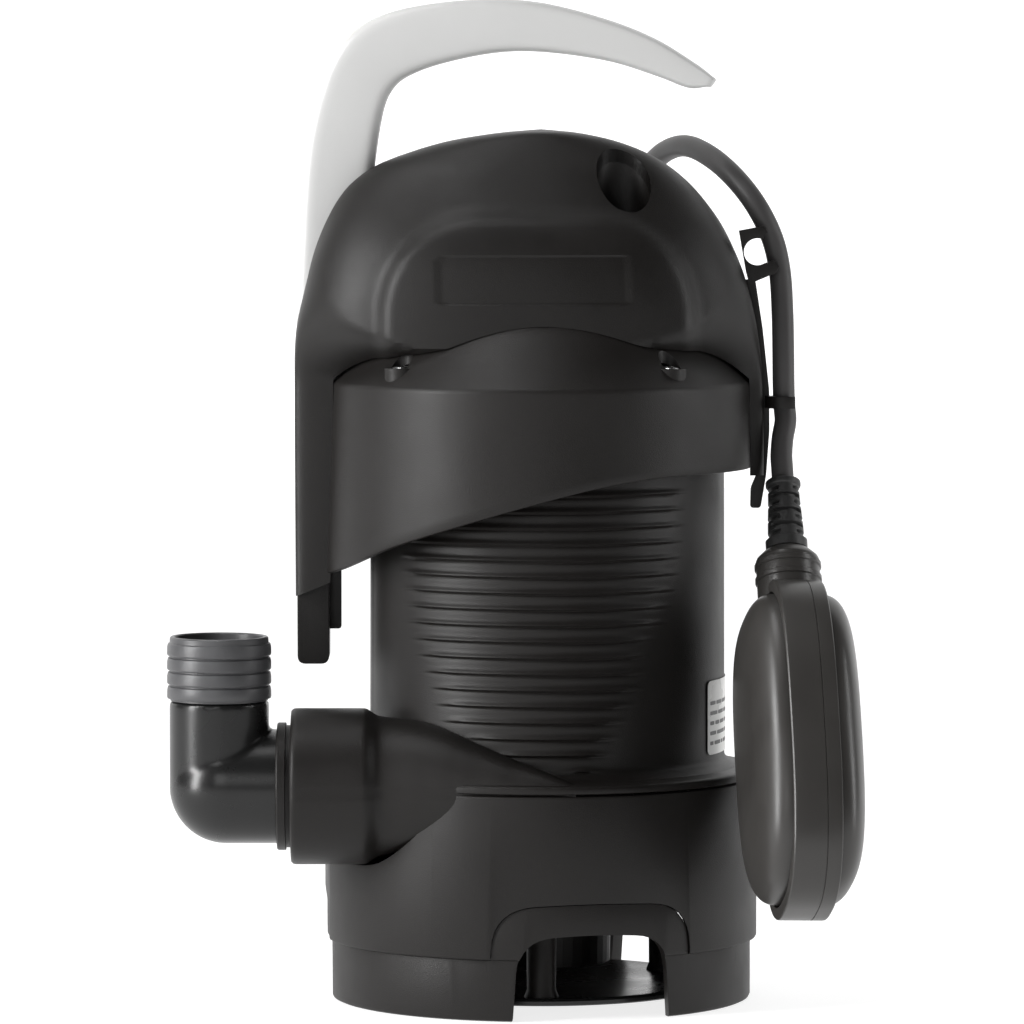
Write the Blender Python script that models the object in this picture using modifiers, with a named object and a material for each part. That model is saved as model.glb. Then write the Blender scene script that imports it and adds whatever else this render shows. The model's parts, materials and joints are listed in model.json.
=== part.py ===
"""Submersible sump pump with a float switch, modelled as an assembly of separate parts.

All helpers take millimetres and build Blender meshes in metres.  Every part is modelled
about the pump's own vertical axis and parented to an empty that puts the whole pump's
box over the origin: +X is to the right, -Y is the front, +Z is up, the floor is Z = 0.
"""
import math

import bmesh
import bpy
from mathutils import Vector

MM = 0.001
FINE, MEDIUM, SMALL, TINY = 40, 20, 14, 10     # facets round a turned piece, by its size
GAP = 0.3                      # clearance between pieces that touch

# Where the pump's axis stands in the part's frame, so that the box is centred
AXIS_X = 11.36
AXIS_Y = 17.07

# Foot and lower casing, about the pump's axis
FOOT_R = 82.0
FOOT_TOP = 23.5
CASING_R = 84.5
CASING_TOP = 86.8
WALL = 3.0
ARCH_ANGLES = (14.5, 134.5, 254.5)      # degrees from the front, towards +X
ARCH_HALF_WIDTH = 30.0
ARCH_TOP = 33.3
COLLAR_HALF_WIDTH = 38.5
COLLAR_TOP = 44.7
BOTTOM_PLATE_R = 65.0
BOTTOM_PLATE_Z = (4.0, 6.4)
POST_R = 5.7                   # the posts that hold the bottom plate
POST_CIRCLE = 56.0
INLET_R = 27.0
INLET_LOW = 14.0
VOLUTE_PLATE_Z = (50.0, 54.0)

# Motor housing, about the motor's axis
MOTOR_X = 2.5
MOTOR_R = 69.0
MOTOR_TOP = 232.0
FLANGE_R = 82.3
FLANGE_Z = (CASING_TOP + GAP, 90.3)
BULKHEAD_Z = (98.0, 104.0)
LABEL_Z = (97.2, 126.4)
LABEL_SECTOR = (-27.0, 20.0)   # degrees from +X
STATOR_Z = (146.0, 196.0)
STATOR_R = 60.0
ROTOR_R = 33.4
SHAFT_R = 6.0
LOWER_BEARING_Z = 126.0
UPPER_BEARING_Z = 214.0
BEARING_H = 10.0

# Outlet, along X
OUTLET_Y = -46.0
OUTLET_Z = 87.0
BOSS_R = 30.1
BOSS_END_X = -96.3
ELBOW_X = -124.1
PIPE_R = 22.0
RISER_R = 19.15
BARB_R = 20.1
BARB_Z = (120.4, 145.0)

# Cover over the motor head: half width and depth of its section at each height
SPLIT_Y = -8.0
HOOD_WALL = 3.0
HOOD_LEVELS = (                # height, left edge, right edge, depth at the middle
    (150.0, 95.6, 86.0, 51.0),
    (236.0, 95.9, 86.6, 51.0),
    (261.0, 95.3, 84.2, 50.8),
    (281.0, 91.0, 79.6, 49.5),
    (292.5, 88.0, 75.2, 47.0),
    (303.0, 83.9, 69.9, 42.0),
    (312.0, 79.0, 63.5, 34.5),
    (319.0, 73.2, 57.2, 28.0),
    (325.7, 64.7, 49.0, 22.0),
    (331.0, 51.5, 39.9, 17.0),
    (335.0, 37.8, 29.0, 13.5),
    (338.0, 20.0, 16.6, 9.5),
    (339.3, 8.0, 8.0, 6.5),
)
BAND_R = 81.7
BAND_RIM_Z = 242.5
BAND_SCREWS = ((-53.8, -49.0), (49.1, -53.0))
BAND_LEDGE = (59.0, 264.3)      # radius and height of the band's inner edge
# Sloping lower edge of the apron and of the cover's skirts, from left to right
APRON_EDGE = ((-110, 155), (-85, 165), (-76, 169.6), (-55, 180.6), (-24, 191.5), (7, 200.5),
              (30, 205.5), (50, 207.6), (72, 207.9), (110, 207.9))
LEG = (-95.4, -82.4, 131.0)    # left edge, right edge, lower end

# Handle, seen from the front
HANDLE_Y = (-7.2, 14.4)
HANDLE_OUTER = ((-93.0, 236), (-95.2, 261), (-92.8, 321), (-90.6, 338), (-87, 352.6), (-82.3, 365),
                (-74.2, 376.5), (-61.2, 384), (-42.5, 388.2), (-19.9, 390), (1.2, 388.4),
                (26, 382), (44.9, 374.4), (62, 363.5), (67.2, 359.4))
HANDLE_INNER = ((64.6, 355.8), (57.3, 355), (44.9, 360), (26, 365.8), (1.2, 369.3), (-17.6, 369),
                (-37.8, 365), (-51, 360.2), (-57.5, 355), (-61.4, 346), (-64.7, 325.7),
                (-67, 300), (-71, 262), (-77, 236))

# Glands in the back of the cover, where they end
GLAND_X, GLAND_Y, GLAND_Z = 22.0, 84.0, 285.0

# Float cord and float: the float swings about the cord just below the lower clip
CORD_R = 4.3
PIVOT = (93.4, -15.0, 213.0)
FLOAT_TILT = 26.0              # degrees forward
FLOAT_LEAN = -1.4              # degrees outward, before the yaw
FLOAT_YAW = 8.0
BOOT_TOP = 11.0                # distances down the float's axis from the pivot
BOOT_END = 40.0
FLOAT_TOP = 56.0
FLOAT_LENGTH = 132.0
FLOAT_WIDTH = 76.0
FLOAT_THICK = 44.0
BAND_HALF = 9.5
CORD_ROUTE = (                 # from the gland behind the head to the pivot
    (22, 84.5, 285), (22, 92, 285.5), (24, 101, 290), (29, 106, 299), (36, 103, 311), (43, 91, 322),
    (50, 72, 329.5), (58, 50, 332), (67, 28, 328), (76, 12, 320),
    (84, 3, 309.5), (90.2, 2.4, 297), (93.2, 1.8, 284), (94.2, -0.8, 268), (94.4, -4.8, 252),
    (94.5, -6.1, 240), (94.8, -6.3, 232), (95.2, -8.2, 226), (94.0, -11.0, 219.5), PIVOT)


# ---------------------------------------------------------------- scene and materials
for old in list(bpy.data.objects):
    bpy.data.objects.remove(old, do_unlink=True)

PARTS = bpy.data.collections.new("sump_pump")
CUTTERS = bpy.data.collections.new("cutters")
bpy.context.scene.collection.children.link(PARTS)
bpy.context.scene.collection.children.link(CUTTERS)


def material(name, colour, roughness, metallic=0.0):
    made = bpy.data.materials.new(name)
    made.use_nodes = True
    shader = made.node_tree.nodes["Principled BSDF"]
    shader.inputs["Base Color"].default_value = (*colour, 1.0)
    shader.inputs["Roughness"].default_value = roughness
    shader.inputs["Metallic"].default_value = metallic
    return made


BLACK = (0.035, 0.032, 0.030)
GREY = (0.10, 0.10, 0.105)
SILVER = (0.48, 0.48, 0.48)
STEEL = (0.60, 0.60, 0.61)
COPPER = (0.60, 0.26, 0.12)


def empty(name, location, rotation=(0, 0, 0), parent=None):
    made = bpy.data.objects.new(name, None)
    made.location = Vector(location) * MM
    made.rotation_euler = [math.radians(angle) for angle in rotation]
    made.parent = parent
    PARTS.objects.link(made)
    return made


PUMP = empty("pump_axis", (AXIS_X, AXIS_Y, 0))
MOTOR = empty("motor_axis", (MOTOR_X, 0, 0), parent=PUMP)
FLOAT = empty("float_pivot", PIVOT, (-FLOAT_TILT, -FLOAT_LEAN, FLOAT_YAW), parent=PUMP)


# ---------------------------------------------------------------- modelling helpers
def add(name, mesh, parent=PUMP, location=(0, 0, 0), rotation=(0, 0, 0), cutter=False):
    """Link a mesh as an object; rotation is in degrees."""
    made = bpy.data.objects.new(name, mesh)
    made.parent = parent
    made.location = Vector(location) * MM
    made.rotation_euler = [math.radians(angle) for angle in rotation]
    (CUTTERS if cutter else PARTS).objects.link(made)
    if cutter:
        made.hide_render = True
        made.display_type = "WIRE"
    return made


def finish(made, colour, roughness, metallic=0.0):
    """Give an object its own material and smooth shading with sharp edges kept."""
    made.data.materials.clear()
    made.data.materials.append(material(made.name, colour, roughness, metallic))
    made.data.shade_smooth()
    made.data.set_sharp_from_angle(angle=math.radians(35))
    return made


def turned(name, outline, steps=FINE, **place):
    """A turned solid; the outline of (radius, height) runs down the outside, then back up."""
    mesh = bpy.data.meshes.new(name)
    points = [(radius * MM, 0.0, height * MM) for radius, height in outline]
    edges = [(i, i + 1) for i in range(len(points) - 1)]
    if outline[0][0] > 0 or outline[-1][0] > 0:
        edges.append((len(points) - 1, 0))
    mesh.from_pydata(points, edges, [])
    made = add(name, mesh, **place)
    screw = made.modifiers.new("turn", "SCREW")
    screw.steps = screw.render_steps = steps
    screw.use_merge_vertices = True
    screw.merge_threshold = 0.00001
    return made


def rod(name, radius, low, high, steps=SMALL, **place):
    return turned(name, ((0, high), (radius, high), (radius, low), (0, low)), steps, **place)


def ring(name, outer, inner, low, high, steps=MEDIUM, **place):
    return turned(name, ((outer, high), (outer, low), (inner, low), (inner, high)), steps, **place)


def ball(name, radius, centre, steps=MEDIUM, rings=12, **place):
    half = [(0, radius)]
    half += [(y, x) for x, y in arc((0, 0), radius, 180 / rings, 180 - 180 / rings, rings - 1)]
    return turned(name, half + [(0, -radius)], steps, location=centre, **place)


def box(name, low, high, bevel=0.0, **place):
    """A box between two corners."""
    mesh = bpy.data.meshes.new(name)
    shape = bmesh.new()
    bmesh.ops.create_cube(shape, size=1.0)
    for vert in shape.verts:
        vert.co = Vector([(low[i] + high[i]) / 2 + vert.co[i] * (high[i] - low[i])
                          for i in range(3)]) * MM
    shape.to_mesh(mesh)
    shape.free()
    made = add(name, mesh, **place)
    if bevel:
        rounding = made.modifiers.new("edges", "BEVEL")
        rounding.width = bevel * MM
        rounding.segments = 2
    return made


def to_mesh(curve):
    """Replace a curve object by its welded mesh."""
    shape = bmesh.new()
    evaluated = curve.evaluated_get(bpy.context.evaluated_depsgraph_get())
    mesh = bpy.data.meshes.new_from_object(evaluated)
    shape.from_mesh(mesh)
    bmesh.ops.remove_doubles(shape, verts=shape.verts, dist=0.000005)
    bmesh.ops.recalc_face_normals(shape, faces=shape.faces)
    shape.to_mesh(mesh)
    shape.free()
    bpy.data.objects.remove(curve, do_unlink=True)
    return mesh


def plate(name, outline, low, high, upright=False, **place):
    """A flat outline given thickness: in XY from low to high in Z, or upright in XZ over Y."""
    curve = bpy.data.curves.new(name, "CURVE")
    curve.dimensions = "2D"
    curve.fill_mode = "BOTH"
    curve.extrude = (high - low) / 2 * MM
    spline = curve.splines.new("POLY")
    spline.points.add(len(outline) - 1)
    for point, (x, y) in zip(spline.points, outline):
        point.co = (x * MM, y * MM, 0, 1)
    spline.use_cyclic_u = True
    source = bpy.data.objects.new(name, curve)
    PARTS.objects.link(source)
    mesh = to_mesh(source)
    middle = (low + high) / 2 * MM
    for vert in mesh.vertices:
        x, y, z = vert.co
        vert.co = (x, middle - z, y) if upright else (x, y, middle + z)
    return add(name, mesh, **place)


def tube(name, points, radius, resolution=2, **place):
    """A round tube through points, kept as a curve."""
    curve = bpy.data.curves.new(name, "CURVE")
    curve.dimensions = "3D"
    curve.bevel_depth = radius * MM
    curve.bevel_resolution = resolution
    curve.use_fill_caps = True
    spline = curve.splines.new("POLY")
    spline.points.add(len(points) - 1)
    for point, place_mm in zip(spline.points, points):
        point.co = (*(Vector(place_mm) * MM), 1)
    return add(name, curve, **place)


def boolean(made, other, operation):
    step = made.modifiers.new(other.name, "BOOLEAN")
    step.operation = operation
    step.solver = "EXACT"
    step.object = other


def cut(made, *cutters):
    for cutter in cutters:
        boolean(made, cutter, "DIFFERENCE")


def fuse(made, *others):
    for other in others:
        boolean(made, other, "UNION")


def arc(centre, radius, start, end, count):
    """Points on an arc in a plane; angles in degrees, from the first axis to the second."""
    angles = [math.radians(start + (end - start) * i / (count - 1)) for i in range(count)]
    return [(centre[0] + radius * math.cos(a), centre[1] + radius * math.sin(a)) for a in angles]


def smooth_route(points, spacing):
    """Evenly spaced points on a smooth curve through the given points."""
    places = [Vector(point) for point in points]
    ends = [places[0] * 2 - places[1]] + places + [places[-1] * 2 - places[-2]]
    fine = []
    for before, start, end, after in zip(ends, ends[1:], ends[2:], ends[3:]):
        for i in range(12):
            t = i / 12
            fine.append(0.5 * ((2 * start) + (end - before) * t
                               + (2 * before - 5 * start + 4 * end - after) * t * t
                               + (3 * start - before - 3 * end + after) * t ** 3))
    fine.append(places[-1])
    length = sum((b - a).length for a, b in zip(fine, fine[1:]))
    count = max(2, round(length / spacing))
    even = [fine[0]]
    run = 0.0
    for a, b in zip(fine, fine[1:]):
        run += (b - a).length
        while run >= length / count * len(even) - 1e-6 and len(even) < count:
            even.append(b)
    even.append(fine[-1])
    return even


# ---------------------------------------------------------------- foot and pump casing
def arch_cutters(name, half_width, top, reach):
    """Three arched blocks that cut the suction openings, spaced round the axis."""
    outline = [(-half_width, -5), (half_width, -5)]
    outline += arc((half_width - 12, top - 12), 12, 0, 90, 6)
    outline += arc((12 - half_width, top - 12), 12, 90, 180, 6)
    made = []
    for number, angle in enumerate(ARCH_ANGLES):
        block = plate(f"{name}_{number}", outline, -reach[1], -reach[0], upright=True,
                      rotation=(0, 0, angle), cutter=True)
        made.append(block)
    return made


def pump_foot():
    foot = turned("foot_ring", ((FOOT_R, FOOT_TOP), (FOOT_R, 1.5), (FOOT_R - 1.5, 0),
                                (FOOT_R - 5, 0), (FOOT_R - 5, FOOT_TOP)), FINE)
    collars = arch_cutters("collar", COLLAR_HALF_WIDTH, COLLAR_TOP, (50, 120))
    for number, collar in enumerate(collars):
        band = ring(f"collar_band_{number}", FOOT_R + 1.7, FOOT_R - 4.6, 10, COLLAR_TOP + 9, FINE,
                    cutter=True)
        boolean(band, collar, "INTERSECT")
        fuse(foot, band)
    cut(foot, *arch_cutters("arch", ARCH_HALF_WIDTH, ARCH_TOP, (50, 120)))
    finish(foot, BLACK, 0.55)

    plate_low, plate_high = BOTTOM_PLATE_Z
    bottom = turned("bottom_plate", ((0, plate_high), (BOTTOM_PLATE_R, plate_high),
                                     (BOTTOM_PLATE_R, plate_low), (0, plate_low)), FINE)
    for number in range(3):
        angle = math.radians(120 * number - 90)
        fuse(bottom, rod(f"post_{number}", POST_R, plate_low + 1, VOLUTE_PLATE_Z[0] - GAP, TINY, cutter=True,
                         location=(POST_CIRCLE * math.cos(angle), POST_CIRCLE * math.sin(angle), 0)))
    finish(bottom, BLACK, 0.25)


def pump_casing():
    low = FOOT_TOP + GAP
    casing = turned("pump_housing", (
        (CASING_R, CASING_TOP), (CASING_R, low), (CASING_R - 2.2, low),
        (CASING_R - 2.2, VOLUTE_PLATE_Z[0] - 4), (FOOT_R - 9, VOLUTE_PLATE_Z[0] - 4),
        (FOOT_R - 9, VOLUTE_PLATE_Z[0] - GAP), (CASING_R - WALL - 0.4, VOLUTE_PLATE_Z[0] - GAP),
        (CASING_R - WALL - 0.4, CASING_TOP)), FINE)
    arches = arch_cutters("casing_arch", COLLAR_HALF_WIDTH + GAP, COLLAR_TOP + GAP, (72, 120))
    mouth = rod("outlet_mouth", BOSS_R + 2.2, 0, 120, FINE, location=(0, OUTLET_Y, OUTLET_Z),
                rotation=(0, -90, 0), cutter=True)
    cut(casing, *arches, mouth)
    finish(casing, BLACK, 0.55)

    low, high = VOLUTE_PLATE_Z
    eye = 22.0
    volute = turned("volute_plate", (
        (CASING_R - WALL - 0.8, high), (CASING_R - WALL - 0.8, low), (INLET_R + 1, low),
        (INLET_R, INLET_LOW), (INLET_R - 3, INLET_LOW), (eye, low), (eye, high)), FINE)
    finish(volute, BLACK, 0.5)


pump_foot()
pump_casing()


# ---------------------------------------------------------------- motor housing and outlet
def motor_housing():
    """The ribbed motor tube with its flange, bulkhead and the tangential outlet boss."""
    flange_low, flange_high = FLANGE_Z
    bulk_low, bulk_high = BULKHEAD_Z
    housing = turned("motor_housing", (
        (MOTOR_R, MOTOR_TOP), (MOTOR_R, flange_high + 6), (MOTOR_R + 4, flange_high + 1.5),
        (FLANGE_R, flange_high), (FLANGE_R, flange_low), (CASING_R - WALL - 3.5, flange_low),
        (CASING_R - WALL - 3.5, flange_low - 14), (CASING_R - WALL - 6.5, flange_low - 14),
        (CASING_R - WALL - 6.5, flange_low), (64, bulk_low), (9.5, bulk_low), (9.5, bulk_low + 1.5),
        (15, bulk_low + 1.5), (15, bulk_high), (44, bulk_high), (44, 122), (MOTOR_R - 7.4, 124),
        (MOTOR_R - 7.4, 212), (MOTOR_R - 4, 212), (MOTOR_R - 4, MOTOR_TOP)), FINE, parent=MOTOR)
    boss = rod("boss", BOSS_R, -24, -BOSS_END_X + MOTOR_X, MEDIUM, parent=MOTOR,
               location=(0, OUTLET_Y, OUTLET_Z), rotation=(0, -90, 0), cutter=True)
    side = box("boss_side", (-60, -140, 0), (60, 140, 86.5), parent=MOTOR, cutter=True)
    inside = rod("boss_inside", 66, FLANGE_Z[0] - 60, BULKHEAD_Z[0] - 2, FINE, parent=MOTOR, cutter=True)
    port = rod("boss_port", BOSS_R - 5.5, -30, 140, MEDIUM, parent=MOTOR,
               location=(0, OUTLET_Y, OUTLET_Z), rotation=(0, -90, 0), cutter=True)
    port_limit = box("port_limit", (-140, -120, 0), (0, 0, BULKHEAD_Z[0] + 14), parent=MOTOR, cutter=True)
    boolean(port, port_limit, "INTERSECT")
    cut(boss, side)
    fuse(housing, boss)
    cut(housing, inside, port)
    finish(housing, BLACK, 0.5)


def outlet():
    """Elbow, its collar and seal, and the hose barb that stands on it."""
    def bent(name, radius, upright_radius, end, top, cutter):
        """A level pipe, an upright one and the ball that joins them at the corner."""
        level = rod(name, radius, -end, -ELBOW_X, MEDIUM, cutter=cutter,
                    location=(0, OUTLET_Y, OUTLET_Z), rotation=(0, -90, 0))
        upright = rod(name + "_riser", upright_radius, OUTLET_Z, top, MEDIUM, cutter=True,
                      location=(ELBOW_X, OUTLET_Y, 0))
        corner = ball(name + "_corner", radius - 0.02, (ELBOW_X, OUTLET_Y, OUTLET_Z), cutter=True)
        fuse(level, upright, corner)
        return level

    pipe = bent("outlet_elbow", PIPE_R, RISER_R, BOSS_END_X + 12, BARB_Z[0] - GAP, False)
    bore = bent("elbow_bore", PIPE_R - 4, RISER_R - 3.4, BOSS_END_X + 20, BARB_Z[0] + 3, True)
    collar = rod("elbow_collar", BOSS_R - 5.9, -BOSS_END_X - 10, -BOSS_END_X + 5, MEDIUM,
                 location=(0, OUTLET_Y, OUTLET_Z), rotation=(0, -90, 0), cutter=True)
    fuse(pipe, collar)
    cut(pipe, bore)
    for step in list(pipe.modifiers)[1:] + list(bore.modifiers)[1:]:
        step.solver = "MANIFOLD"
    finish(pipe, BLACK, 0.15)

    low, high = BARB_Z
    tooth = 5.5
    outline = [(BARB_R - 1.0, high)]
    for number in range(4):
        edge = low + tooth * (4 - number)
        outline += [(BARB_R, edge - 4.6), (BARB_R - 1.2, edge - 4.8)]
    outline += [(BARB_R - 1.2, low), (RISER_R - 3.4, low), (BARB_R - 3.4, high)]
    barb = turned("hose_barb", outline, MEDIUM, location=(ELBOW_X, OUTLET_Y, 0))
    finish(barb, (0.13, 0.13, 0.135), 0.5)


motor_housing()
outlet()


# ---------------------------------------------------------------- cover over the motor head
def hood(name, side, shrink=0.0, drop=0.0, grow_depth=0.0, around=18, **place):
    """A closed dome: stacked half sections, bulging to the front (-1) or to the back (+1)."""
    verts, faces = [], []
    for height, left, right, depth in HOOD_LEVELS:
        middle, half = (right - left) / 2, (right + left) / 2 - shrink
        half, deep = max(half, 1.5), max(depth + grow_depth - shrink, 1.5)
        for i in range(around + 1):
            angle = math.pi * i / around
            x = middle + half * math.copysign(abs(math.cos(angle)) ** 0.86, math.cos(angle))
            verts.append((x * MM, (SPLIT_Y + side * deep * math.sin(angle) ** 0.86) * MM,
                          (height - drop) * MM))
    row = around + 1
    for level in range(len(HOOD_LEVELS) - 1):
        for i in range(row):
            a, b = level * row + i, level * row + (i + 1) % row
            faces.append((a, b, b + row, a + row))
    faces.append(tuple(range(row)))
    faces.append(tuple(range(len(verts) - row, len(verts))))
    mesh = bpy.data.meshes.new(name)
    mesh.from_pydata(verts, [], faces)
    shape = bmesh.new()
    shape.from_mesh(mesh)
    bmesh.ops.triangulate(shape, faces=[face for face in shape.faces if len(face.verts) > 4])
    bmesh.ops.recalc_face_normals(shape, faces=shape.faces)
    shape.to_mesh(mesh)
    shape.free()
    return add(name, mesh, **place)


def skirt_cutter(name, lower_by=0.0):
    """Everything under the sloping lower edge of the apron."""
    outline = [(-110, 60), (110, 60)] + [(x, z - lower_by) for x, z in reversed(APRON_EDGE)]
    return plate(name, outline, -120, 120, upright=True, cutter=True)


def front_cover():
    cowl = hood("front_cowl", -1)
    inside = hood("cowl_inside", -1, shrink=HOOD_WALL, drop=HOOD_WALL, cutter=True)
    inside.location.y += 1.0 * MM
    band_space = turned("band_space", (
        (0, BAND_LEDGE[1] + 1), (BAND_LEDGE[0] - 0.6, BAND_LEDGE[1] + 0.6),
        (BAND_R + GAP, BAND_RIM_Z + 0.5), (BAND_R + GAP, 100), (0, 100)), FINE, cutter=True)
    bore = rod("screw_access", 10.5, 280, 345, SMALL, location=(34, -30, 0), cutter=True)
    pockets = []
    for number, (x, y) in enumerate(BAND_SCREWS):
        pockets.append(rod(f"pocket_{number}", 4.2, 247, 261, TINY, location=(x, y, 0), cutter=True))
        pockets.append(rod(f"pilot_{number}", 2.2, 230, 250, TINY, location=(x, y, 0), cutter=True))
    ears = box("ear_limit", (-120, -120, 90), (120, SPLIT_Y - 9, 245), cutter=True)
    cut(cowl, inside, band_space, skirt_cutter("cowl_skirt", 3.0), ears, bore, *pockets[::2])
    finish(cowl, BLACK, 0.5)

    outer = [(BAND_LEDGE[0], BAND_LEDGE[1]), (BAND_R, BAND_RIM_Z), (BAND_R, 140)]
    inner = [(BAND_R - 2.8, 140), (BAND_R - 2.8, BAND_RIM_Z - 2),
             (BAND_LEDGE[0], BAND_LEDGE[1] - 3.6)]
    band = turned("front_band", outer + inner)
    behind = box("band_behind", (-120, SPLIT_Y - GAP, 100), (120, 120, 300), cutter=True)
    cut(band, behind, skirt_cutter("band_skirt"), *pockets)
    finish(band, BLACK, 0.5)


def rear_cover():
    cowl = hood("rear_cowl", 1, grow_depth=33)
    inside = hood("rear_inside", 1, shrink=HOOD_WALL, drop=HOOD_WALL, grow_depth=33, cutter=True)
    inside.location.y -= 1.0 * MM
    split = box("rear_split", (-120, -60, 90), (120, SPLIT_Y + GAP, 360), cutter=True)
    below = skirt_cutter("rear_skirt", -1.0)
    leg = box("leg", (LEG[0], SPLIT_Y + GAP + 0.01, LEG[2]), (LEG[1], 13, 262), bevel=1.5, cutter=True)
    rib = box("leg_rib", (LEG[1] - 1, 2, 144), (-78.0, 8, 200), cutter=True)
    slot = box("handle_slot", (-130, SPLIT_Y - 3, 232), (-58, HANDLE_Y[1] + GAP, 345), cutter=True)
    glands = [rod(f"gland_hole_{side}", 9.6, 50, 100, SMALL, location=(side * GLAND_X, 0, GLAND_Z),
                  rotation=(-90, 0, 0), cutter=True) for side in (-1, 1)]
    cut(cowl, inside, split, below)
    fuse(cowl, leg, rib)
    cut(cowl, slot, *glands)
    finish(cowl, BLACK, 0.5)


def handle():
    outline = list(HANDLE_OUTER) + list(HANDLE_INNER)
    grip = plate("carry_handle", outline, *HANDLE_Y, upright=True)
    rounding = grip.modifiers.new("edges", "BEVEL")
    rounding.width = 2.2 * MM
    rounding.segments = 2
    rounding.limit_method = "ANGLE"
    rounding.angle_limit = math.radians(50)
    cut(grip, rod("handle_screw_hole", 2.4 + GAP, -30, 30, TINY, location=(-78, 0, 290),
                  rotation=(90, 0, 0), cutter=True))
    finish(grip, SILVER, 0.45)


front_cover()
rear_cover()
handle()


# ---------------------------------------------------------------- clips, screws and label
def clips():
    """The strip beside the head with the open upper clip and the hooked lower clip."""
    low_y, high_y = -7.3, -3.4
    strip = plate("cable_clip_frame", (
        (80.6, 281), (83.4, 281), (86.3, 262), (88.9, 238), (89.0, 222), (87.8, 205), (85.6, 192),
        (81.6, 192), (82.2, 200), (87.0, 206.5), (87.1, 236), (85.0, 261.5), (82.0, 275)),
        low_y, high_y, upright=True)
    hook = [(77.0, 300), (86.5, 301.8), (88.2, 299.5), (86.6, 298)]
    hook += arc((84.2, 291.8), 5.3, 65, 300, 10)
    hook += [(90.8, 288.6), (92.6, 286.2), (91.4, 283.6), (83.5, 280.3), (81.0, 279.6), (79.8, 284)]
    upper = plate("upper_clip", hook, low_y, high_y, upright=True, cutter=True)
    eye = arc((94.6, -6.2), 7.5, 305, 140, 16) + arc((94.6, -6.2), 5.3, 140, 305, 14)
    lower = plate("lower_clip", eye, 231.0, 235.6, cutter=True)
    fuse(strip, upper, lower)
    finish(strip, BLACK, 0.5)


def screws():
    for number, (x, y) in enumerate(BAND_SCREWS):
        body = turned(f"band_screw_{number + 1}", (
            (0, 250.2), (3.5, 249.6), (3.8, 247.4), (1.9, 247.4), (1.9, 240.2), (0, 239.2)), TINY,
            location=(x, y, 0))
        finish(body, STEEL, 0.3, 1.0)
    deep = turned("cowl_screw", ((0, 300), (6.0, 299), (6.0, 295.5), (2.4, 295.5), (2.4, 283), (0, 282)),
                  TINY, location=(34, -30, 0))
    finish(deep, STEEL, 0.3, 1.0)
    pin = rod("handle_screw", 2.4, -HANDLE_Y[1] - 4, -HANDLE_Y[0] - 1, TINY, location=(-78, 0, 290),
              rotation=(90, 0, 0))
    finish(pin, STEEL, 0.3, 1.0)


def label():
    sticker = ring("rating_label", MOTOR_R + 0.6, MOTOR_R + GAP, *LABEL_Z, FINE * 2, parent=MOTOR)
    sector = plate("label_sector", [(0, 0)] + arc((0, 0), 100, *LABEL_SECTOR, 8), 80, 170,
                   parent=MOTOR, cutter=True)
    boolean(sticker, sector, "INTERSECT")
    finish(sticker, (0.8, 0.8, 0.8), 0.5)


clips()
screws()
label()


# ---------------------------------------------------------------- motor, bearings and seals
def bearing(name, low, outer, inner, steps=SMALL):
    """Outer ring, inner ring and the cage with its balls, as three parts."""
    high = low + BEARING_H - 0.6
    middle = (low + high) / 2
    outer_ring = ring(f"{name}_bearing_outer", outer, outer - 3.2, low, high, steps, parent=MOTOR)
    finish(outer_ring, STEEL, 0.2, 1.0)
    inner_ring = ring(f"{name}_bearing_inner", inner + 3.2, inner, low, high, steps, parent=MOTOR)
    finish(inner_ring, STEEL, 0.2, 1.0)
    track = (outer - 3.2 + inner + 3.2) / 2
    cage = ring(f"{name}_bearing_cage", track + 0.6, track - 0.6, middle - 2.2, middle + 2.2, steps,
                parent=MOTOR)
    for number in range(6):
        angle = 2 * math.pi * number / 6
        fuse(cage, ball(f"{name}_ball_{number}", (outer - inner - 6.4) / 2 - 0.35,
                        (track * math.cos(angle), track * math.sin(angle), middle),
                        steps=6, rings=4, parent=MOTOR, cutter=True))
    finish(cage, (0.55, 0.42, 0.2), 0.35, 1.0)


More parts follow.
